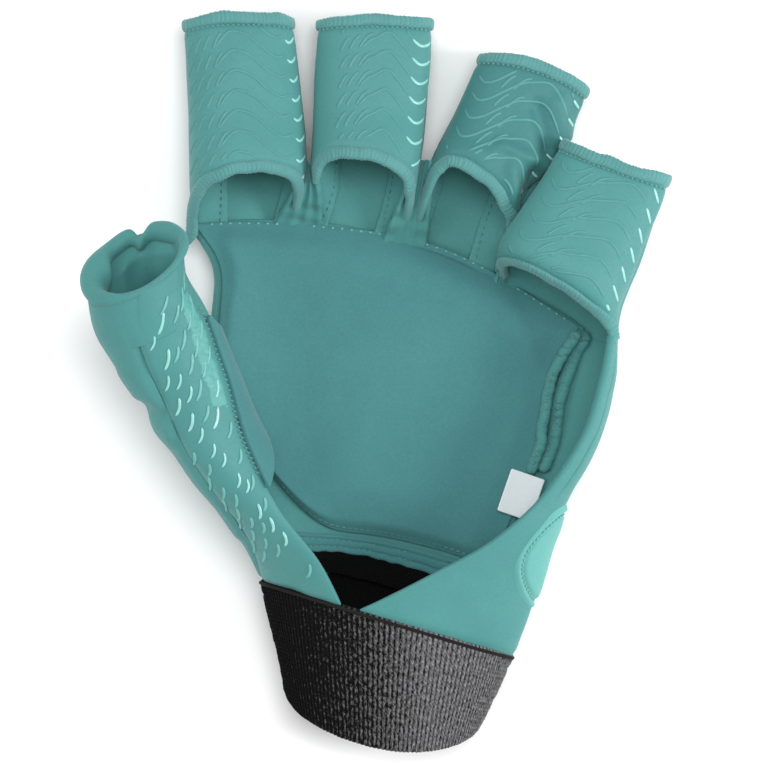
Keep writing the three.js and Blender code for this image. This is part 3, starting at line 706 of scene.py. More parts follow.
fabric_look = cloth("stretch_fabric", TEAL, TEAL_DARK, **PLAIN_CLOTH)
grip_look = cloth("grip_fabric", TEAL, TEAL_DARK, **GRIP_CLOTH)
brushed = {"roughness": 0.85, "weave": 0.45, "weave_depth": 0.03, "mottle": 0.5, "sheen": 0.3}
lining_look = cloth("brushed_lining", LINING_TONE, LINING_DARK, **brushed)
# The ring finger's grip cloth is darker than the others: a painted shade for how that finger is turned to the
# light.
ring_shaded_look = cloth("ring_grip_fabric_painted_shade", linear(58, 122, 121), linear(42, 97, 98), **GRIP_CLOTH)
# The side pad's cloth is paler than the panel: a painted highlight where the pad swells towards the light.
pad_highlight_look = cloth("side_pad_fabric_painted_highlight", linear(98, 167, 161), linear(76, 142, 138), **PLAIN_CLOTH)
hem_look = thread("overlock_thread", THREAD_TONE, TEAL_DARK, 0.65)
thread_look = thread("sewing_thread", linear(112, 178, 172), THREAD_TONE, 0.5)
print_look = silicone("silicone_print", linear(70, 136, 133), linear(64, 128, 126), 0.5, 0.0)
# Pale, glossy print for the finger lines' ends and the thumb's bright strokes: the gloss is real, the
# paleness a painted highlight.
gloss_highlight_look = silicone("glossy_print_painted_highlight", linear(150, 205, 198), linear(116, 182, 176), 0.2, 0.35)
film_look = silicone("worn_print", linear(88, 156, 151), linear(76, 144, 140), 0.5, 0.0)
# The thumb's strokes are paler than the cloth: a painted highlight where the print catches the light.
stroke_highlight_look = silicone("thumb_print_painted_highlight", linear(104, 170, 164), linear(86, 154, 149), 0.4, 0.0)
seam_look = thread("seam_thread", linear(88, 156, 152), TEAL_DARK, 0.6)
CUFF_GIRTH = 168.0  # round the cuff
CUFF_RIBS = 150
RIB = CUFF_GIRTH / CUFF_RIBS * MM
# The outer cuff: painted shade towards -X, 0.34 deep, and a painted highlight on the ribs' crests.
elastic_look = knit("heather_elastic", linear(7, 7, 8), linear(140, 140, 142), 0.34, RIB)
elastic_dark_look = knit("elastic_inside", linear(2, 2, 3), linear(7, 7, 8), 0.0, RIB)
welt_look = thread("black_thread", linear(5, 5, 6), linear(2, 2, 3), 0.95, 0.0)
tape = {"roughness": 0.6, "weave": 0.35, "mottle": 0.25, "sheen": 0.1}
label_look = cloth("label_tape", linear(226, 233, 236), linear(200, 208, 213), **tape)


def stands_for(piece, node):
    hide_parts(node)
    return piece


# Padded back, its lining and the wrist facing

shell = wall(
    "back_foam",
    lambda s, t: back_point(lerp(-SHELL_REACH - 0.008, SHELL_REACH + 0.012, s), lerp(-0.006, 1, t)),
    130, 100, 0,
    lambda at: shell_thickness(lerp(-1, 1, at["s"]), at["t"]),
    fabric_look,
    sway=lambda at: 0.22 * soft_noise(at["points"], 26, 3) * np.minimum(1, at["points"][..., 2] / 3),
    tuck={"s0": (0.7, 2.0), "s1": (0.7, 2.0), "t0": (0.6, 2.0), "t1": (0.6, 2.0)},
)
stands_for(shell, "back_shell")


def roots_rise(across):
    """How far the palm's cloth reaches up past the finger roots, most at the ring finger's side."""
    return 0.026 * bell(across - 0.3, 0.4)


def pad_spread(across):
    """Where the pad ends along the back: its lower edge is bowed, with a rounded corner at the thumb."""
    aside = np.maximum(0, (across + 0.3) / (PAD_REACH["thumb"] + 0.3)) ** 4
    return PAD_REACH["end"] - PAD_REACH["bow"] * across**2 - PAD_REACH["corner"] * aside, aside


def lining_place(s, t):
    across = lerp(PAD_REACH["thumb"] - 0.05, PAD_REACH["little"] + 0.04, s)
    end, aside = pad_spread(across)
    start = 0.002 - roots_rise(across)
    return above_padding(across, lerp(start, end, t), SEAM_GAP + PAD_REACH["lift"] * aside)


PALM_FOLDS = (
    ((505, 300), (548, 385), 3.4, 0.8),
    ((478, 300), (520, 420), 4.5, -0.5),
    ((225, 235), (245, 300), 3.0, 0.5),
    ((300, 480), (430, 520), 7.0, 0.4),
    ((450, 470), (500, 420), 6.0, -0.5),
)


def pad_height(at):
    u, v = at["u"], at["v"]
    sides = np.minimum(eased(u / 7), eased((u[:, -1:] - u) / 9))
    ends = np.minimum(eased(v / 9), eased((v[-1:] - v) / 4.2) ** 0.7)
    height = lerp(LINING_EDGE * 0.5, LINING_PAD, sides * ends)
    folds = sum(crease(at["points"], *fold) for fold in PALM_FOLDS)
    return height + folds + 0.16 * soft_noise(at["points"], 21, 5) + 0.03 * soft_noise(at["points"], 4, 6)


lining = wall("lining_pad", lining_place, 150, 135, 0, pad_height, lining_look, bulge=0.9)
stands_for(lining, "back_lining")


def band_place(reach, wave=0.0):
    def place(s, t):
        across = lerp(-reach["side"], reach["side"], s)
        end = reach["end"] + wave * np.sin(across * 31 + 1.4 * np.sin(across * 9))
        return above_padding(across, lerp(reach["start"], end, t) - reach["bow"] * across**2, SEAM_GAP)

    return place


facing_place = band_place(FACING_REACH, 0.0016)
facing = wall(
    "facing_cloth", facing_place, 200, 18, 0.1,
    lambda at: FACING
    + 0.2 * soft_noise(at["points"], 7, 8)
    - 0.35 * bell(at["t"] - FACING_ROWS[0], 0.08)
    - 0.35 * bell(at["t"] - FACING_ROWS[1], 0.08),
    lining_look, bulge=0.9,
)
stands_for(facing, "wrist_facing")


def stitched(name, place, path, height, material, **shape):
    """A row of stitches over a surface, along a path of (s, t), a height above it."""
    s, t = path
    normal = normals(place, s, t)
    return beads(name, stitch_paths(place(s, t) + normal * height, normal, **shape), material, around=6)


def named(piece):
    return piece


RUN = np.linspace(0, 1, 160)
SMALL_STITCH = {"pitch": 1.7, "length": 1.0}
for number, t in enumerate(FACING_ROWS, 1):
    row = (lerp(0.01, 0.99, RUN), level(RUN, t))
    name = f"facing_stitches_{number}"
    named(stitched(name, facing_place, row, 0.32 - FACING, seam_look, **SMALL_STITCH))
pad_row = (lerp(0.1, 0.97, RUN), level(RUN, 0.985))
named(stitched("pad_stitches", lining_place, pad_row, -1.2, seam_look, **SMALL_STITCH))
lap = wall(
    "elastic_lap",
    band_place(LAP_REACH),
    150, 24, 0,
    lambda at: LAP - 0.45 + 0.05 * soft_noise(at["points"], 4, 9),
    elastic_dark_look, bulge=0.5,
)
stands_for(lap, "cuff_lap")


def label_place(s, t):
    x = LABEL_PLACE["width"] * (s - 0.5)
    y = -LABEL_PLACE["length"] * (t - 0.5)
    turn = math.radians(LABEL_PLACE["turn"])
    z = LABEL_PLACE["z"] + LABEL_PLACE["curl"] * (2 * s - 1) ** 2
    return np.stack(
        [
            LABEL_PLACE["x"] + x * math.cos(turn) - y * math.sin(turn),
            LABEL_PLACE["y"] + x * math.sin(turn) + y * math.cos(turn),
            z,
        ],
        -1,
    )


label = wall("label_tape_piece", label_place, 40, 50, 0, LABEL, label_look, bulge=1.0)
stands_for(label, "label")

# Side panel and the stitched pad on it


def side_place(s, t):
    row = side_row(t * SIDE_LAST)
    return section_point(row, lerp(row["seam"], row["edge"], s))


def side_sway(at):
    return 0.25 * soft_noise(at["points"], 24, 11) * np.clip((1 - at["s"]) * 6, 0, 1)


def side_outer(at):
    """The outer face: a turned-over hem along the free edge, stitched down in a groove."""
    away = at["u"][:, -1:] - at["u"]
    shown = 1 - eased((at["t"] - 0.42) / 0.16)
    hem = 0.5 * shown * (1 - eased((away - 3.0) / 0.8))
    return hem - 0.7 * shown * bell(away - 3.6, 0.6) + 0.1 * soft_noise(at["points"], 9, 12)


side_cloth = wall(
    "side_cloth",
    lambda s, t: side_place(lerp(-0.012, 1, s), lerp(-0.014, 1, t)),
    200, 150, side_outer,
    lambda at: FABRIC + 0.5 * bell(at["u"][:, -1:] - at["u"] - 1.2, 1.3),
    fabric_look, bulge=0.7, sway=side_sway,
    tuck={"s0": (0.8, 1.8), "t1": (0.5, 1.5)},
)
stands_for(side_cloth, "side_panel")


# The side seam's allowances, inside the palm, from the roots to the label: two ridges of cloth stitched
# together, as (how far aside, half width, half thickness, seed)
SEAM_RIDGES = ((-2.5, 1.6, 1.1, 71), (1.7, 2.1, 1.5, 72))
RIDGE_UP = np.array([-0.35, -0.1, 0.93])


def side_seam_at(t, aside):
    """A place beside the side seam, inside the palm: aside in millimetres, up the panel where positive."""
    row = side_row(t)
    seam = section_point(row, row["seam"])
    up_panel = unit(section_point(row, row["seam"] + 4) - seam)
    into_palm = unit(np.array([-1.0, -0.1, 0.12]))
    on_panel = (aside > 0)[..., None]
    direction = np.where(on_panel, up_panel, into_palm)
    inward = unit(np.cross(np.array([0.3, 1.0, 0.0]), up_panel))
    inward = inward * np.sign(-inward[..., :1])
    lift = np.where(on_panel, 2.9 * inward, 4.6 * np.array([0, 0, 1.0]))
    return seam + direction * np.abs(aside)[..., None] + lift


ridges = []
for aside, width, thick, seed in SEAM_RIDGES:
    t = np.linspace(0.0, 2.72, 150)
    drift = aside + 0.35 * np.sin(t * 5 + seed)
    centre = side_seam_at(t, drift)
    rough = 0.3 * soft_noise(centre, 6, seed) + 0.2 * soft_noise(centre, 1.9, seed + 4)
    centre = centre + rough[:, None] * np.array([0.6, 0.2, 1.0])
    ridges.append(strand(centre, RIDGE_UP, width * 2, thick * 2, 0.04))
named(beads("side_seam_allowance", ridges, fabric_look, around=12))
seam_stitches = []
for aside, width, thick, seed in SEAM_RIDGES:
    t = np.linspace(0.05, 2.7, 150)
    line = side_seam_at(t, level(t, aside)) + RIDGE_UP * thick * 0.9
    facing_up = np.tile(RIDGE_UP, (len(line), 1))
    seam_stitches += stitch_paths(line, facing_up, pitch=1.9, length=1.5, slant=55)
named(beads("side_seam_stitches", seam_stitches, seam_look, around=6))


def side_pad_place(s, t):
    row = side_row(lerp(SIDE_PAD_PLACE["start"], SIDE_PAD_PLACE["end"], t))
    reach = lerp(0.12, 1, np.maximum(0, np.sin(np.pi * t)) ** SIDE_PAD_PLACE["power"]) * (s - 0.5)
    return section_point(row, SIDE_PAD_PLACE["middle"] + SIDE_PAD_PLACE["spread"] * reach)


def side_pad_depth(at):
    """How far a place is inside the pad's outline, from 0 at its edge to 1 in its middle."""
    return np.sqrt(np.maximum(0, 1 - (2 * at["s"] - 1) ** 2) * np.maximum(0, np.sin(np.pi * at["t"])))


def side_pad_top(at):
    """The pad swells out of the panel, dips to its stitches, and fills again inside them."""
    depth = side_pad_depth(at) ** 2
    swell = 1.9 * eased(depth / 0.26) - 0.95 * bell(depth - 0.31, 0.075)
    return -0.7 + swell + 0.3 * eased((depth - 0.36) / 0.5) + 0.06 * soft_noise(at["points"], 6, 73)


# The pad's paler cloth is a painted highlight.
side_pad = wall("side_cushion", side_pad_place, 110, 110, side_pad_top, 1.1, pad_highlight_look, bulge=0.0)
pad_line = np.linspace(0.09, 0.93, 200)
ring = np.sqrt(np.maximum(0, 1 - 0.56**2 / np.maximum(1e-6, np.sin(np.pi * pad_line))))
path = (0.5 + 0.5 * ring[ring > 0], pad_line[ring > 0])
shape = {"pitch": 1.35, "length": 0.8, "width": 0.5, "slant": 20}
named(stitched("side_pad_stitches", side_pad_place, path, 0.45, thread_look, **shape))
stands_for(side_pad, "side_pad")

# Thumb


WALL_START = 0.2  # the thumb's cloth starts under its rolled rim


def thumb_place(low, high, start, end):
    def place(s, t):
        row = thumb_row(lerp(start, end, t))
        return section_point(row, lerp(low(row), high(row), s))

    return place


THUMB_FOLDS = (
    ((238, 560), (300, 590), 2.2, -0.6),
    ((262, 575), (318, 596), 2.0, 0.5),
    ((226, 520), (262, 556), 2.6, -0.5),
    ((176, 300), (196, 330), 3.0, 0.5),
)
SLEEVE_FOLDS = (
    ((136, 404), (168, 420), 2.0, -1.3),
    ((140, 425), (175, 440), 2.6, 0.7),
    ((118, 372), (150, 392), 3.0, 0.5),
    ((95, 305), (140, 330), 3.0, -0.5),
    ((236, 540), (262, 570), 2.4, -0.6),
)


def thumb_sway(at):
    folds = sum(crease(at["points"], *fold) for fold in THUMB_FOLDS)
    return folds + 0.2 * soft_noise(at["points"], 15, 21)


grip_place = thumb_place(
    lambda row: row["edge"], lambda row: row["grip"] - SEAM_DEGREES, WALL_START, THUMB_LAST
)
thumb_grip = wall(
    "thumb_grip_cloth", grip_place, 80, 190, 0, GRIP_FABRIC, grip_look, bulge=0.3,
    sway=thumb_sway,
    tuck={"s0": (0.15, 1.0), "s1": (0.6, 1.2), "t1": (0.4, 1.2)},
)
stands_for(thumb_grip, "thumb_grip")

sleeve_place = thumb_place(
    lambda row: row["grip"] + SEAM_DEGREES, lambda row: row["seam"] - SEAM_DEGREES, WALL_START, THUMB_LAST
)
thumb_sleeve = wall(
    "thumb_sleeve_cloth", sleeve_place, 100, 170, 0, FABRIC, fabric_look, bulge=0.3,
    sway=lambda at: 0.3 * soft_noise(at["points"], 19, 22) * np.clip(4 * at["t"], 0, 1)
    + sum(crease(at["points"], *fold) for fold in SLEEVE_FOLDS) * (at["points"][..., 2] > 12),
    tuck={"s0": (0.8, 1.6), "s1": (0.8, 1.6), "t1": (0.5, 1.5)},
)
stands_for(thumb_sleeve, "thumb_sleeve")


def gusset_place(s, t):
    at = lerp(GUSSET["start"], lerp(GUSSET["low_end"], GUSSET["high_end"], (1 - s) ** 2), t)
    row = thumb_row(at)
    low = row["seam"] + SEAM_DEGREES + GUSSET["lift"] * eased((at - 2.4) / 0.8)
    high = 360 + row["edge"] - SEAM_DEGREES
    return section_point(row, lerp(high, low, s))


gusset = wall(
    "thumb_gusset_cloth", gusset_place, 60, 80,
    lambda at: 0.12 * soft_noise(at["points"], 9, 23) - 0.15 * bell(at["u"], 1.0),
    FABRIC, lining_look, bulge=0.5,
)
stands_for(gusset, "thumb_gusset")


def crotch_strip_place(s, t):
    """A narrow strip on the gusset beside the grip panel, from the crotch down, tapered."""
    return gusset_place(lerp(0.0, lerp(0.8, 0.25, t**0.8), s), lerp(0.02, 0.62, t))


strip = wall("thumb_crotch_strip", crotch_strip_place, 24, 80, 0.4, 0.5, fabric_look, bulge=0.9)
named(strip)


# Print on the thumb: hooked strokes in staggered columns, all painted paler than the cloth as highlights, and
# the brighter ones as (row, share across)
THUMB_STROKES = {"columns": 6, "first": 0.12, "step": 0.145, "pitch": 7.6, "length": 5.0}
STROKE_SHAPE = {"even": (0.3, 1.5), "bright": (0.22, 1.7)}  # lean, and hook in millimetres
BRIGHT_STROKES = (
    (1.15, 0.62), (1.6, 0.79), (2.05, 0.68), (2.6, 0.79), (3.1, 0.76), (2.65, 0.64),
    (3.42, 0.65), (3.7, 0.58), (2.95, 0.56), (3.05, 0.17), (3.45, 0.28), (3.98, 0.49),
    (4.15, 0.4), (4.48, 0.33), (4.58, 0.24), (4.98, 0.28), (5.22, 0.23), (5.5, 0.19),
)


STROKE_RUN = np.linspace(0.03, 0.97, 400)  # down the grip panel


def thumb_stroke(t, share, length, run, width, lean, hook):
    """A stroke on the grip panel from a place down it: straight, then hooked towards the sleeve."""
    q = np.linspace(0, 1, 16)
    at = np.interp(np.interp(t, STROKE_RUN, run) + length * q, run, STROKE_RUN)
    aside = lean * length * q + hook * (q**3 - 0.25 * q)
    across = share + aside / np.interp(at, STROKE_RUN, width)
    normal = normals(grip_place, across, at)
    height = 0.1 + thumb_sway({"points": grip_place(across, at)})
    return grip_place(across, at) + normal * height[:, None], normal


def thumb_strokes():
    """Every stroke down the thumb: the even ones, and the bright ones that stand among them, both painted
    pale as highlights.
    """
    rng = np.random.default_rng(81)
    bright_at = [((row - WALL_START) / (THUMB_LAST - WALL_START), share) for row, share in BRIGHT_STROKES]
    even, bright = [], []
    for column in range(THUMB_STROKES["columns"]):
        share = THUMB_STROKES["first"] + THUMB_STROKES["step"] * column
        line = grip_place(level(STROKE_RUN, share), STROKE_RUN)
        run = lengths(line[:, None], 0)[:, 0]
        edges = [grip_place(level(STROKE_RUN, end), STROKE_RUN) for end in (1, 0)]
        width = np.linalg.norm(edges[0] - edges[1], axis=-1)
        start = 3 + THUMB_STROKES["pitch"] * (column * 0.37 % 1)
        while start < run[-1] - 9:
            t = float(np.interp(start, run, STROKE_RUN))
            clear = all(abs(t - a) > 0.06 or abs(share - b) > 0.1 for a, b in bright_at)
            length = THUMB_STROKES["length"] * rng.uniform(0.8, 1.15)
            if clear:
                path = thumb_stroke(t, share, length, run, width, *STROKE_SHAPE["even"])
                even.append(strand(*path, 0.9, 0.42, 0.25))
            start += THUMB_STROKES["pitch"] + rng.uniform(-0.5, 0.5)
        if column == 0:
            for t, share in bright_at:
                size = rng.uniform(0.85, 1.2)
                path = thumb_stroke(t - 0.02, share, 5.2 * size, run, width, *STROKE_SHAPE["bright"])
                bright.append(strand(*path, 0.78 * size, 0.34, 0.22))
    return even, bright


even_strokes, bright_strokes = thumb_strokes()
# Thumb strokes: the even ones and the bright ones, both painted pale as highlights.
named(beads("thumb_grip_print", even_strokes, stroke_highlight_look, around=8))
named(beads("thumb_bright_print", bright_strokes, gloss_highlight_look, around=8))


def worn_place(s, t):
    """A strip beside the palm edge where the print has run together."""
    return grip_place(lerp(0.04, 0.42, s), lerp(0.08, 0.5, t))


def worn_height(at):
    edges = np.minimum(np.minimum(at["s"], 1 - at["s"]) / 0.3, np.minimum(at["t"], 1 - at["t"]) / 0.15)
    patches = soft_noise(at["points"], 3.4, 84) + 0.6 * soft_noise(at["points"], 7, 85)
    lines = 0.07 * np.tanh(3 * soft_noise(at["points"] * [1, 1.6, 1], 2.6, 86))
    return thumb_sway(at) - 0.5 + 0.66 * eased(edges + 0.22 * patches * (1 - edges)) + lines


wear_and_painted_shade = wall("thumb_worn_print", worn_place, 50, 150, worn_height, 0.8, film_look, bulge=0.0)
named(wear_and_painted_shade)
seam_fill = np.linspace(0.03, 0.64, 200)
line = grip_place(level(seam_fill, -0.006), seam_fill)
normal = normals(grip_place, level(seam_fill, 0.01), seam_fill)
cord = strand(line - normal * 0.55, normal, 2.2, 1.0, 0.05)
named(beads("thumb_seam_cloth", [cord], fabric_look, around=12))
seam_run = np.linspace(0.2, 0.62, 220)
seam_path = (level(seam_run, 0.012), seam_run)
shape = {"pitch": 1.5, "length": 1.9, "width": 0.5, "slant": 66}
named(stitched("thumb_seam_stitches", grip_place, seam_path, 0.12, seam_look, **shape))


def thumb_surface(s, t):
    return section_point(thumb_row(t), 360 * s)


# Cloth inside the seam between the thumb's sleeve and the padded back
rows = np.linspace(2.9, 6.9, 160)
seam_angles = thumb_row(rows)["seam"]
normal = normals(thumb_surface, seam_angles / 360, rows)
line = section_point(thumb_row(rows), seam_angles) - normal * 1.8
cord = strand(line, normal, 3.6, 1.1, 0.05)
named(beads("thumb_inner_seam", [cord], fabric_look, around=12))

# The thumb's rolled rim round its mouth, by degrees, in millimetres: thickness across the wall, width along
# the thumb, and how far it stands out of the thumb's surface
RIM_ROLL = (
    (0, 3.0, 4.0, 1.4),
    (30, 2.0, 2.6, 0.7),
    (60, 1.8, 2.2, 0.45),
    (105, 1.8, 2.2, 0.45),
    (140, 3.0, 3.8, 1.0),
    (165, 6.6, 6.0, 1.6),
    (195, 8.6, 7.2, 1.7),
    (222, 8.2, 7.0, 1.7),
    (250, 5.6, 6.0, 1.7),
    (275, 4.4, 5.2, 1.6),
    (290, 3.2, 4.0, 1.4),
    (304, 4.6, 5.6, 1.7),
    (322, 5.2, 6.4, 1.7),
    (342, 4.2, 5.6, 1.7),
    (360, 3.0, 4.0, 1.4),
)


def rim_path(count):
    s = np.arange(count) / count
    middle = RIM_ROWS / 2
    angles, thick, width, proud = np.array(RIM_ROLL, float).T
    share = weights(angles, s * 360)
    thick, width, proud = share @ thick, share @ width, share @ proud
    normal = normals(thumb_surface, s, level(s, middle))
    dent = 2.6 * bell(s * 360 - 290, 9)
    centre = thumb_surface(s, level(s, middle)) - normal * (thick / 2 - proud + dent)[:, None]
    above, below = (thumb_surface(s, level(s, middle + step)) for step in (0.1, -0.1))
    wide = unit(above - below)
    centre = centre + unit(wide) * (dent * 0.9 + 0.45 * soft_noise(centre, 14, 32))[:, None]
    swell = (1 + 0.05 * soft_noise(centre, 9, 31))[:, None]
    return centre, wide * swell * width[:, None] / 2, normal * swell * thick[:, None] / 2, True


# Folds of the padding inside the thumb's mouth: degrees, spread and how far they stand in
INNER_FOLDS = ((196, 34, 5.0), (262, 26, 4.4), (322, 24, 2.6), (60, 40, 0.6))


def thumb_folds(at):
    rise = eased(at["t"] * 3.2)
    total = 0.7 + 0.9 * rise
    for degrees, spread, height in INNER_FOLDS:
        gap = (at["s"] * 360 - degrees + 14 * at["t"] + 180) % 360 - 180
        total = total + height * rise * bell(gap, spread)
    return total


thumb_lining = wall(
    "thumb_lining",
    lambda s, t: section_point(thumb_row(lerp(0.18, 1.6, t)), 360 * s),
    180, 45, -0.12, thumb_folds, fabric_look, looped=True,
)
thumb_roll = beads("thumb_roll", [rim_path(260)], fabric_look, around=30)
stands_for(thumb_roll, "thumb_hem")

# Fingers: panels, overlocked hems and the raised grip lines


def overlock(centre, wide, thick, looped, material, name, around=20, pitch=1.0, slant=1.3, flat=1.0):
    """A hem wrapped in slanting thread: its section swells where each thread crosses it.

    Flat is how thick the hem's inner edge is beside its outer one.
    """
    run = lengths(centre[:, None], 0)[:, 0]
    closing = np.linalg.norm(centre[0] - centre[-1]) if looped else 0.0
    count = round((run[-1] + closing) / pitch)
    angle = 2 * np.pi * (np.arange(around) + 0.5) / around
    turns = run / (run[-1] + closing) * count
    drift = 0.22 * soft_noise(centre, 4, count + 1)[:, None]
    phase = turns[:, None] + drift + slant * np.sin(angle)[None] * 0.5
    ridge = (0.5 + 0.5 * np.cos(2 * np.pi * phase)) ** 0.8
    swell = 0.1 * (1 + 0.4 * soft_noise(centre, 2.2, count + 2)[:, None])
    size = 0.93 + swell * ridge + 0.04 * soft_noise(centre, 5, count)[:, None]
    boxy = lambda value: np.sign(value) * np.abs(value) ** 0.75
    edge = lerp(flat, 1.0, (1 + np.cos(angle)) / 2)
    sideways = wide[:, None] * boxy(np.cos(angle))[None, :, None]
    upwards = thick[:, None] * (boxy(np.sin(angle)) * edge)[None, :, None]
    points = centre[:, None] + (sideways + upwards) * size[..., None]
    quads = tube_quads(np.arange(len(centre) * around).reshape(len(centre), around), looped)
    uv = np.stack(np.broadcast_arrays(run[:, None], np.arange(around)[None] * 0.5), -1).reshape(-1, 2)
    return make_mesh(name, points.reshape(-1, 3), np.vstack(quads), uv, material)


# Grip lines. Across a finger, 0 is the thumb side and 1 the little-finger side. Down is in millimetres from
# the row's crest to the palm. Each row is a wave, hooks that climb beside it, and an arc past its trough.
GRIP_LINES = {
    "index": {
        "pitch": 5.5,
        "wave": ((0.31, 5.0), (0.38, 2.0), (0.46, 0), (0.55, 1.6), (0.66, 5.0), (0.78, 7.1), (0.87, 6.1)),
        "hooks": (0.385, 0.29, 0.2, 0.11),
        "arc": ((0.885, 7.4), (0.92, 8.0), (0.955, 7.4), (0.98, 6.0)),
        "bright": 0.88,
    },
    "middle": {
        "pitch": 5.6,
        "wave": (
            (0.43, 5.0), (0.5, 1.9), (0.59, 0), (0.7, 3.3), (0.82, 7.8),
            (0.885, 9.0), (0.95, 8.4), (0.98, 7.2),
        ),
        "hooks": (0.5, 0.42, 0.34),
        "arc": (),
        "bright": 0.8,
    },
    "ring": {
        "pitch": 5.5,
        "wave": (
            (0.07, 7.8), (0.15, 9.9), (0.25, 9.0), (0.37, 5.4), (0.49, 1.6), (0.6, 0),
            (0.69, 0.9), (0.79, 3.6), (0.89, 6.4), (0.97, 7.3),
        ),
        "hooks": (0.5, 0.4),
        "arc": (),
        "bright": 0.87,
    },
    "little": {
        "pitch": 5.6,
        "wave": (
            (0.1, 6.4), (0.19, 8.7), (0.3, 7.6), (0.42, 4.2),
            (0.55, 1.2), (0.67, 0), (0.76, 1.0), (0.85, 3.4),
        ),
        "hooks": (0.52, 0.42),
        "arc": ((0.875, 4.7), (0.905, 5.8), (0.935, 7.0), (0.965, 8.2)),
        "bright": 0.86,
    },
}
HOOK = {"reach": 0.085, "fall": 4.4, "step": 0.5}
HEM_STATIONS = 760  # sections round a tip hem
PRINT_SHAPES = {"lines": (0.85, 0.3, 0.12), "glints": (0.9, 0.42, 0.3)}  # width, height and taper


def wave_rows(lines, length):
    """The pieces of every row down a finger, as (across, down from the tip hem)."""
    pieces = []
    knots, falls = np.array(lines["wave"], float).T
    for k in range(-1, int(length / lines["pitch"]) + 1):
        top = 1.5 + k * lines["pitch"]
        across = np.linspace(knots[0], knots[-1], 90)
        pieces.append((across, top + weights(knots, across) @ falls))
        for number, at in enumerate(lines["hooks"], 1):
            climb = np.linspace(1, 0, 24)
            low = top + HOOK["step"] * number
            pieces.append((at - HOOK["reach"] * climb, low + HOOK["fall"] * climb**1.7))
        if lines["arc"]:
            arc, drop = np.array(lines["arc"], float).T
            at = np.linspace(arc[0], arc[-1], 20)
            pieces.append((at, top + weights(arc, at) @ drop))
    return pieces


def clipped(keep, *arrays):
    """Runs of neighbouring kept points, at least five long."""
    found, start = [], None
    for i, flag in enumerate(list(keep) + [False]):
        if flag and start is None:
            start = i
        if not flag and start is not None:
            if i - start >= 5:
                found.append([a[start:i] for a in arrays])
            start = None
    return found


RING_FOLDS = (
    ((536, 100), (553, 158), 2.6, -2.3),
    ((498, 144), (552, 170), 2.0, 1.6),
    ((540, 164), (523, 228), 2.6, -2.9),
    ((512, 162), (518, 226), 2.2, 1.5),
    ((558, 96), (570, 142), 2.4, 1.0),
    ((446, 150), (500, 156), 2.6, 0.9),
)
# The mouth hems' angles. At their ends, towards the little finger and the thumb: how far each falls, how far
# it flares out, how slim it gets and how far it swings towards the next finger
MOUTH_SPAN = (3, 180)
MOUTH_ENDS = {
    "index": {"right": 1.6, "left": 4.8, "flare": 1.7, "slim": (0.6, 0.95), "swing": 2.0},
    "middle": {"right": 0.4, "left": -7.4, "flare": -1.3, "slim": (0.6, 0.5), "swing": 0.6},
    "ring": {"right": 5.0, "left": 1.0, "flare": 0.3, "slim": (0.7, 0.62), "swing": 0.0},
    "little": {"right": 1.8, "left": 3.0, "flare": 0.3, "slim": (0.85, 0.85), "swing": 0.0},
}
# Side walls that lie folded flat inside a finger: the angles of the seam and of the fold, thumb side first
SIDE_BANDS = {
    "index": ((185, 250), (312, 355)),
    "middle": ((185, 243), (298, 355)),
    "ring": ((185, 222), (290, 355)),
}


def finger_folds(name, points):
    if name != "ring":
        return 0.22 * soft_noise(points, 17, len(name))
    return 0.2 * soft_noise(points, 17, 4) + sum(crease(points, *fold) for fold in RING_FOLDS)


def mouth_along(name, degrees):
    """Where a mouth hem's middle line runs along its finger, its ends fallen."""
    right = MOUTH_ENDS[name]["right"] * eased((26 - degrees) / 22)
    left = MOUTH_ENDS[name]["left"] * eased((degrees - 154) / 22)
    return arch_at(FINGERS[name]["arch"], degrees) - right - left


def tip_of(finger):
    return finger["sections"][-1][0]


def half_tube(finger):
    """A finger's palm half as a surface: across it, and back along it."""
    return lambda u, v: finger_point(finger, 180 * u, -v)


def finger_panels(name, finger):
    """The padded back of a finger tube, and its cloth on the palm side."""
    wall_end = tip_of(finger) - HEM_WIDTH + 0.9

    def panel(low, high, start):
        def place(s, t):
            degrees = lerp(low, high, s)
            return finger_point(finger, degrees, lerp(wall_end, start(degrees), t))

        return place

    root_end = lambda degrees: 0.6 - 1.5 * np.abs(np.sin(np.radians(degrees))) ** 0.4
    fill = lambda at: np.sin(np.pi * at["s"]) ** 0.7 * np.minimum(1, 4 * (1 - at["t"]))
    back = wall(
        f"{name}_padding",
        panel(180 + FINGER_SEAM, 360 - FINGER_SEAM, root_end),
        70, 80, 0,
        lambda at: lerp(FABRIC, FINGER_PADDING, fill(at)) + 0.12 * soft_noise(at["points"], 11, 41),
        fabric_look,
        sway=lambda at: 0.15 * soft_noise(at["points"], 20, 42) * np.clip(at["points"][..., 2] / 3, 0, 1),
        tuck={"s0": (0.6, 1.4), "s1": (0.6, 1.4), "t0": (0.5, 1.6), "t1": (0.6, 1.6)},
    )
    stands_for(back, f"{name}_back")
    front = wall(
        f"{name}_grip_cloth",
        panel(FINGER_SEAM, 180 - FINGER_SEAM, lambda degrees: mouth_along(name, degrees) + 0.9),
        100, 105, 0, GRIP_FABRIC,
        # The ring finger takes the darker cloth, a painted shade.
        ring_shaded_look if name == "ring" else grip_look,
        sway=lambda at: finger_folds(name, at["points"]),
        tuck={"s0": (0.5, 1.2), "s1": (0.5, 1.2), "t0": (0.5, 1.6), "t1": (0.5, 1.2)},
    )
    stands_for(front, f"{name}_grip")


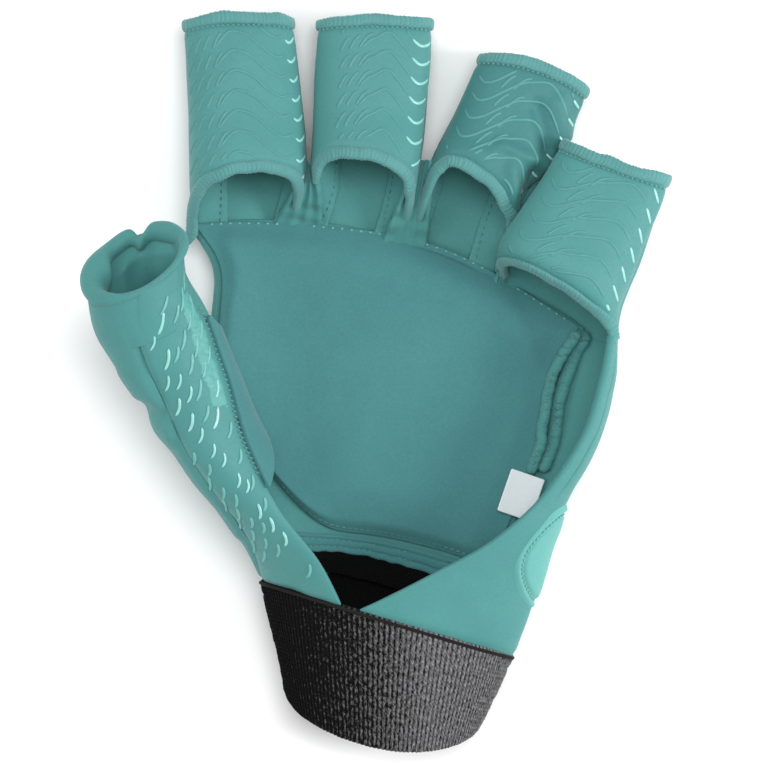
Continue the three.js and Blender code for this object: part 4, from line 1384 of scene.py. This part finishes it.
def tip_hem(name, finger):
    """The overlocked ring at a finger's open tip, with its needle stitches below."""
    tip = tip_of(finger)
    tube = lambda u, v: finger_point(finger, 360 * u, tip - v)
    s = np.arange(HEM_STATIONS) / HEM_STATIONS
    normal = normals(tube, s, level(s, HEM_WIDTH / 2))
    wide = (tube(s, level(s, 0)) - tube(s, level(s, HEM_WIDTH))) * 0.5
    centre = tube(s, level(s, HEM_WIDTH / 2)) - normal * HEM_SET
    centre = centre + unit(wide) * (0.24 * soft_noise(centre, 9, 51))[:, None]
    thick = normal * HEM_THICKNESS * 0.48
    hem = overlock(centre, wide, thick, True, hem_look, f"{name}_tip_overlock", pitch=1.15, flat=0.8)
    stands_for(hem, f"{name}_tip_hem")
    dots = []
    for first, last in ((0.05, 0.45), (0.55, 0.95)):
        s = np.linspace(first, last, 300)
        needle = tube(s, level(s, HEM_WIDTH + 0.3))
        normal = normals(tube, s, level(s, HEM_WIDTH))
        lift = finger_folds(name, needle) if first < 0.5 else level(s, 0.05)
        needle = needle + normal * lift[:, None]
        dots += stitch_paths(needle, normal, pitch=1.4, length=0.8, width=0.5, height=0.45)
    named(beads(f"{name}_needle_stitches", dots, seam_look, around=6))


def mouth_hem(name, finger):
    """The overlocked arch on the palm side of a finger's mouth."""
    ends = MOUTH_ENDS[name]
    degrees = np.linspace(*MOUTH_SPAN, 520)
    along = mouth_along(name, degrees)
    flare = ends["flare"] * eased((degrees - 145) / 28)
    slim = 1 - (1 - ends["slim"][0]) * eased((30 - degrees) / 27)
    slim = slim - (1 - ends["slim"][1]) * eased((degrees - 150) / 27)
    normal = normals(half_tube(finger), degrees / 180, -along)
    line = finger_point(finger, degrees, along)
    tangent = unit(np.gradient(line, axis=0))
    wide = unit(np.cross(normal, tangent)) * HEM_WIDTH / 2 * slim[:, None]
    thick = normal * HEM_THICKNESS * 0.44 * slim[:, None]
    rise = finger_folds(name, line) * 0.9 + flare - HEM_SET
    centre = line + normal * rise[:, None] + 0.16 * unit(wide) * soft_noise(line, 8, 52)[:, None]
    centre[:, 0] += ends["swing"] * eased((28 - degrees) / 26)
    centre[:, 2] -= 1.1 * eased((18 - degrees) / 15)
    hem = overlock(centre, wide, thick, False, hem_look, f"{name}_mouth_overlock", pitch=1.1, slant=1.2)
    stands_for(hem, f"{name}_mouth_hem")


def band_edge(finger, angle, along):
    """A line down a finger at an angle, set in from its wall."""
    inset = 2.1 if abs(math.cos(math.radians(angle))) > 0.95 else FINGER_PADDING + 0.35
    at = np.full(along.shape, angle / 360)
    tube = lambda u, v: finger_point(finger, 360 * u, -v)
    return tube(at, -along) - normals(tube, at, -along) * inset


def side_band(name, finger, side, angles):
    """A side wall folded flat inside a finger, with its row of stitches where one shows."""

    def band(s, t):
        seam, fold = (band_edge(finger, angle, lerp(-0.3, 27, t)) for angle in angles)
        return lerp(seam, fold, s[..., None])

    uneven = lambda at: 0.5 + 0.1 * soft_noise(at["points"], 5, 44)
    named(wall(f"{name}_{side}_band", band, 24, 90, uneven, 0.5, fabric_look, bulge=0.9))
    if (name, side) != ("index", "little_side"):
        down = np.linspace(0.01, 0.8, 90)
        line = (level(down, 0.82 if side == "thumb_side" else 0.18), down)
        shape = {"pitch": 2.0, "length": 1.1, "width": 0.45}
        named(stitched(f"{name}_{side}_stitches", band, line, 0.5, hem_look, **shape))


def root_stitches(name, root):
    """The row of stitches where the lining meets a finger."""
    across = np.linspace(root["from"] + 0.06, min(root["to"] - 0.05, 0.93), 80)
    place = 0.004 - roots_rise(across)
    line = above_padding(across, place, 0.75)
    facing_up = -normals(back_point, across, place)
    dots = stitch_paths(line, facing_up, pitch=2.6, length=0.95, width=0.55, height=0.6, lift=0.15)
    named(beads(f"{name}_root_stitches", dots, thread_look, around=6))


def grip_print(name, finger):
    """A finger's raised wavy lines, and their glossy ends on the little-finger side, painted pale as a
    highlight.
    """
    tip = tip_of(finger)
    printed = {"lines": [], "glints": []}
    for across, down in wave_rows(GRIP_LINES[name], tip):
        degrees = np.degrees(np.arccos(np.clip(2 * across - 1, -0.985, 0.985)))
        along = tip - HEM_WIDTH - SEAM_GAP - down
        inside = (along > mouth_along(name, degrees) + 2.9) & (along < tip - HEM_WIDTH - 0.9)
        bright = across > GRIP_LINES[name]["bright"]
        for kind, keep in (("lines", inside & ~bright), ("glints", inside & bright)):
            for angle, place in clipped(keep, degrees, along):
                normal = normals(half_tube(finger), angle / 180, -place)
                points = finger_point(finger, angle, place)
                points = points + normal * finger_folds(name, points)[:, None]
                printed[kind].append(strand(points, normal, *PRINT_SHAPES[kind]))
    named(beads(f"{name}_grip_lines", printed["lines"], print_look, around=8))
    named(beads(f"{name}_grip_glints", printed["glints"], gloss_highlight_look, around=8))


for name, finger in FINGERS.items():
    finger_panels(name, finger)
    tip_hem(name, finger)
    mouth_hem(name, finger)
    for side, angles in zip(("thumb_side", "little_side"), SIDE_BANDS.get(name, ())):
        side_band(name, finger, side, angles)
    root_stitches(name, finger["root"])
    grip_print(name, finger)

# Webs of cloth in the crotches between neighbouring fingers


def web_place(left, right, reach, inside):
    def place(s, t):
        a = finger_point(FINGERS[left], 4, lerp(-1.2, reach[0], t))
        b = finger_point(FINGERS[right], 176, lerp(-1.2, reach[1], t))
        a[..., 0] -= inside[0] * (1 - t) ** 0.7
        b[..., 0] += inside[1] * (1 - t) ** 0.7
        point = lerp(a, b, s[..., None])
        point[..., 2] += 0.5 - 0.5 * t - 0.9 * np.sin(np.pi * s) * t
        return point

    return place


def web_folds(at):
    """Three soft folds that run down the web, deeper towards the fingers."""
    folds = 0.45 * np.cos(at["s"] * 6 * np.pi + 1.2 * at["t"]) * (0.4 + 0.6 * at["t"])
    return 0.7 + folds + 0.2 * soft_noise(at["points"], 5, 91)


WEBS = (
    ("index", "middle", (17.4, 17.6), (3.8, 6.5)),
    ("middle", "ring", (18.4, 20.5), (5.5, 4.0)),
    ("ring", "little", (9, 3), (0, 0)),
)
for left, right, reach, inside in WEBS:
    web = wall(
        f"{left}_{right}_web",
        web_place(left, right, reach, inside),
        60, 70, web_folds, 0.9, fabric_look, bulge=0.9,
    )
    named(web)

# Cuff

WRIST = dict(zip(SIDE_COLUMNS, SIDE_ROWS[-1]))


def cuff_place(s, t):
    s = np.asarray(s, float) % 1.0
    front = lerp(WRIST["seam"], 180 - WRIST["seam"], s / CUFF_FRONT)
    rear = lerp(180 - WRIST["seam"], 360 + WRIST["seam"], (s - CUFF_FRONT) / (1 - CUFF_FRONT))
    degrees = np.where(s < CUFF_FRONT, front, rear)
    up = np.sin(np.radians(degrees))
    over = np.cos(np.radians(degrees)) / abs(math.cos(math.radians(WRIST["seam"])))
    rim = section_point(WRIST, degrees)
    rim[..., 1] -= CUFF_GAP
    behind = (up < 0) & (np.abs(over) < 1)
    rim[..., 1] += np.where(behind, (BACK_BOW - 0.2) * (1 - over * over), 0)
    foot = section_point(CUFF_FOOT, degrees)
    foot[..., 1] -= np.where(up > 0, CUFF_PALM_DROP * up, -CUFF_BACK_DROP * up)
    return lerp(rim, foot, np.asarray(t, float)[..., None])


def cuff_ribs(at):
    ribs = np.abs(np.sin(np.pi * CUFF_RIBS * at["s"])) ** 0.7
    rows = 0.5 + 0.5 * np.sin(at["v"] * 2 * np.pi / 1.7 + 2 * soft_noise(at["points"], 11, 62))
    welt = bell(at["v"] - 3.4, 0.45)
    return 0.42 * ribs - 0.34 + 0.05 * rows - 0.3 * welt + 0.08 * soft_noise(at["points"], 3, 63)


def cuff_sway(at):
    return 0.5 * soft_noise(at["points"], 30, 61) * np.minimum(1, at["points"][..., 2] / 4)


cuff = wall(
    "cuff_knit", cuff_place, 1050, 36, cuff_ribs, ELASTIC, elastic_look,
    inside=elastic_dark_look,
    chart=lambda at: [at["s"] * CUFF_GIRTH, at["v"]],
    looped=True, bulge=0.9, sway=cuff_sway,
)
stands_for(cuff, "cuff")
s = np.arange(700) / 700
top = cuff_place(s, level(s, 0))
normal = normals(cuff_place, s, level(s, 0))
wide = unit(cuff_place(s, level(s, 0.03)) - top)
top = top + normal * (cuff_sway({"points": top}) + 0.05)[:, None]
cuff_welt = overlock(
    top, wide * 0.5, normal * 0.34, True, welt_look, "cuff_welt", around=14, pitch=1.1, slant=1.5
)

# Camera, floor and lights


def photo_camera():
    data = bpy.data.cameras.new("camera")
    camera = bpy.data.objects.new("camera", data)
    bpy.context.scene.collection.objects.link(camera)
    centre = photo_plan(PHOTO_PIXELS[0] / 2, PHOTO_PIXELS[1] / 2) + SHIFT[:2]
    camera.location = (centre[0] * MM, centre[1] * MM, FOCUS_HEIGHT + CAMERA_HEIGHT)
    data.sensor_width = SENSOR
    data.lens = SENSOR * CAMERA_HEIGHT / (max(PHOTO_PIXELS) * MM_PER_PIXEL * MM)
    data.clip_start, data.clip_end = 0.05, 20
    bpy.context.scene.camera = camera


def area_light(name, place, size, power, aim=(0, 0, 0.02)):
    data = bpy.data.lights.new(name, "AREA")
    data.shape = "DISK"
    data.size = size
    data.energy = power
    lamp = bpy.data.objects.new(name, data)
    bpy.context.scene.collection.objects.link(lamp)
    lamp.location = place
    lamp.rotation_mode = "QUATERNION"
    lamp.rotation_quaternion = (Vector(place) - Vector(aim)).to_track_quat("Z", "Y")


photo_camera()
area_light("key", (0.95, -0.1, 0.6), 0.4, 8.6)
area_light("fill", (-0.9, 0.0, 0.6), 0.6, 2.6)
area_light("top", (0.1, 0.35, 1.6), 0.9, 14)

world = bpy.data.worlds.new("studio")
world.use_nodes = True
world.node_tree.nodes["Background"].inputs[0].default_value = (1, 1, 1, 1)
world.node_tree.nodes["Background"].inputs[1].default_value = 0.62
bpy.context.scene.world = world
bpy.context.scene.view_settings.view_transform = "Standard"

floor_mesh = bpy.data.meshes.new("floor")
floor_corners = [(x, y, -0.0003) for x, y in ((-4, -4), (4, -4), (4, 4), (-4, 4))]
floor_mesh.from_pydata(floor_corners, [], [(0, 1, 2, 3)])
floor = bpy.data.objects.new("floor", floor_mesh)
bpy.context.scene.collection.objects.link(floor)
floor_look, _, floor_shader = nodes_of("floor")
floor_shader.inputs["Base Color"].default_value = (0.95, 0.95, 0.95, 1)
floor_shader.inputs["Roughness"].default_value = 0.9
floor_mesh.materials.append(floor_look)
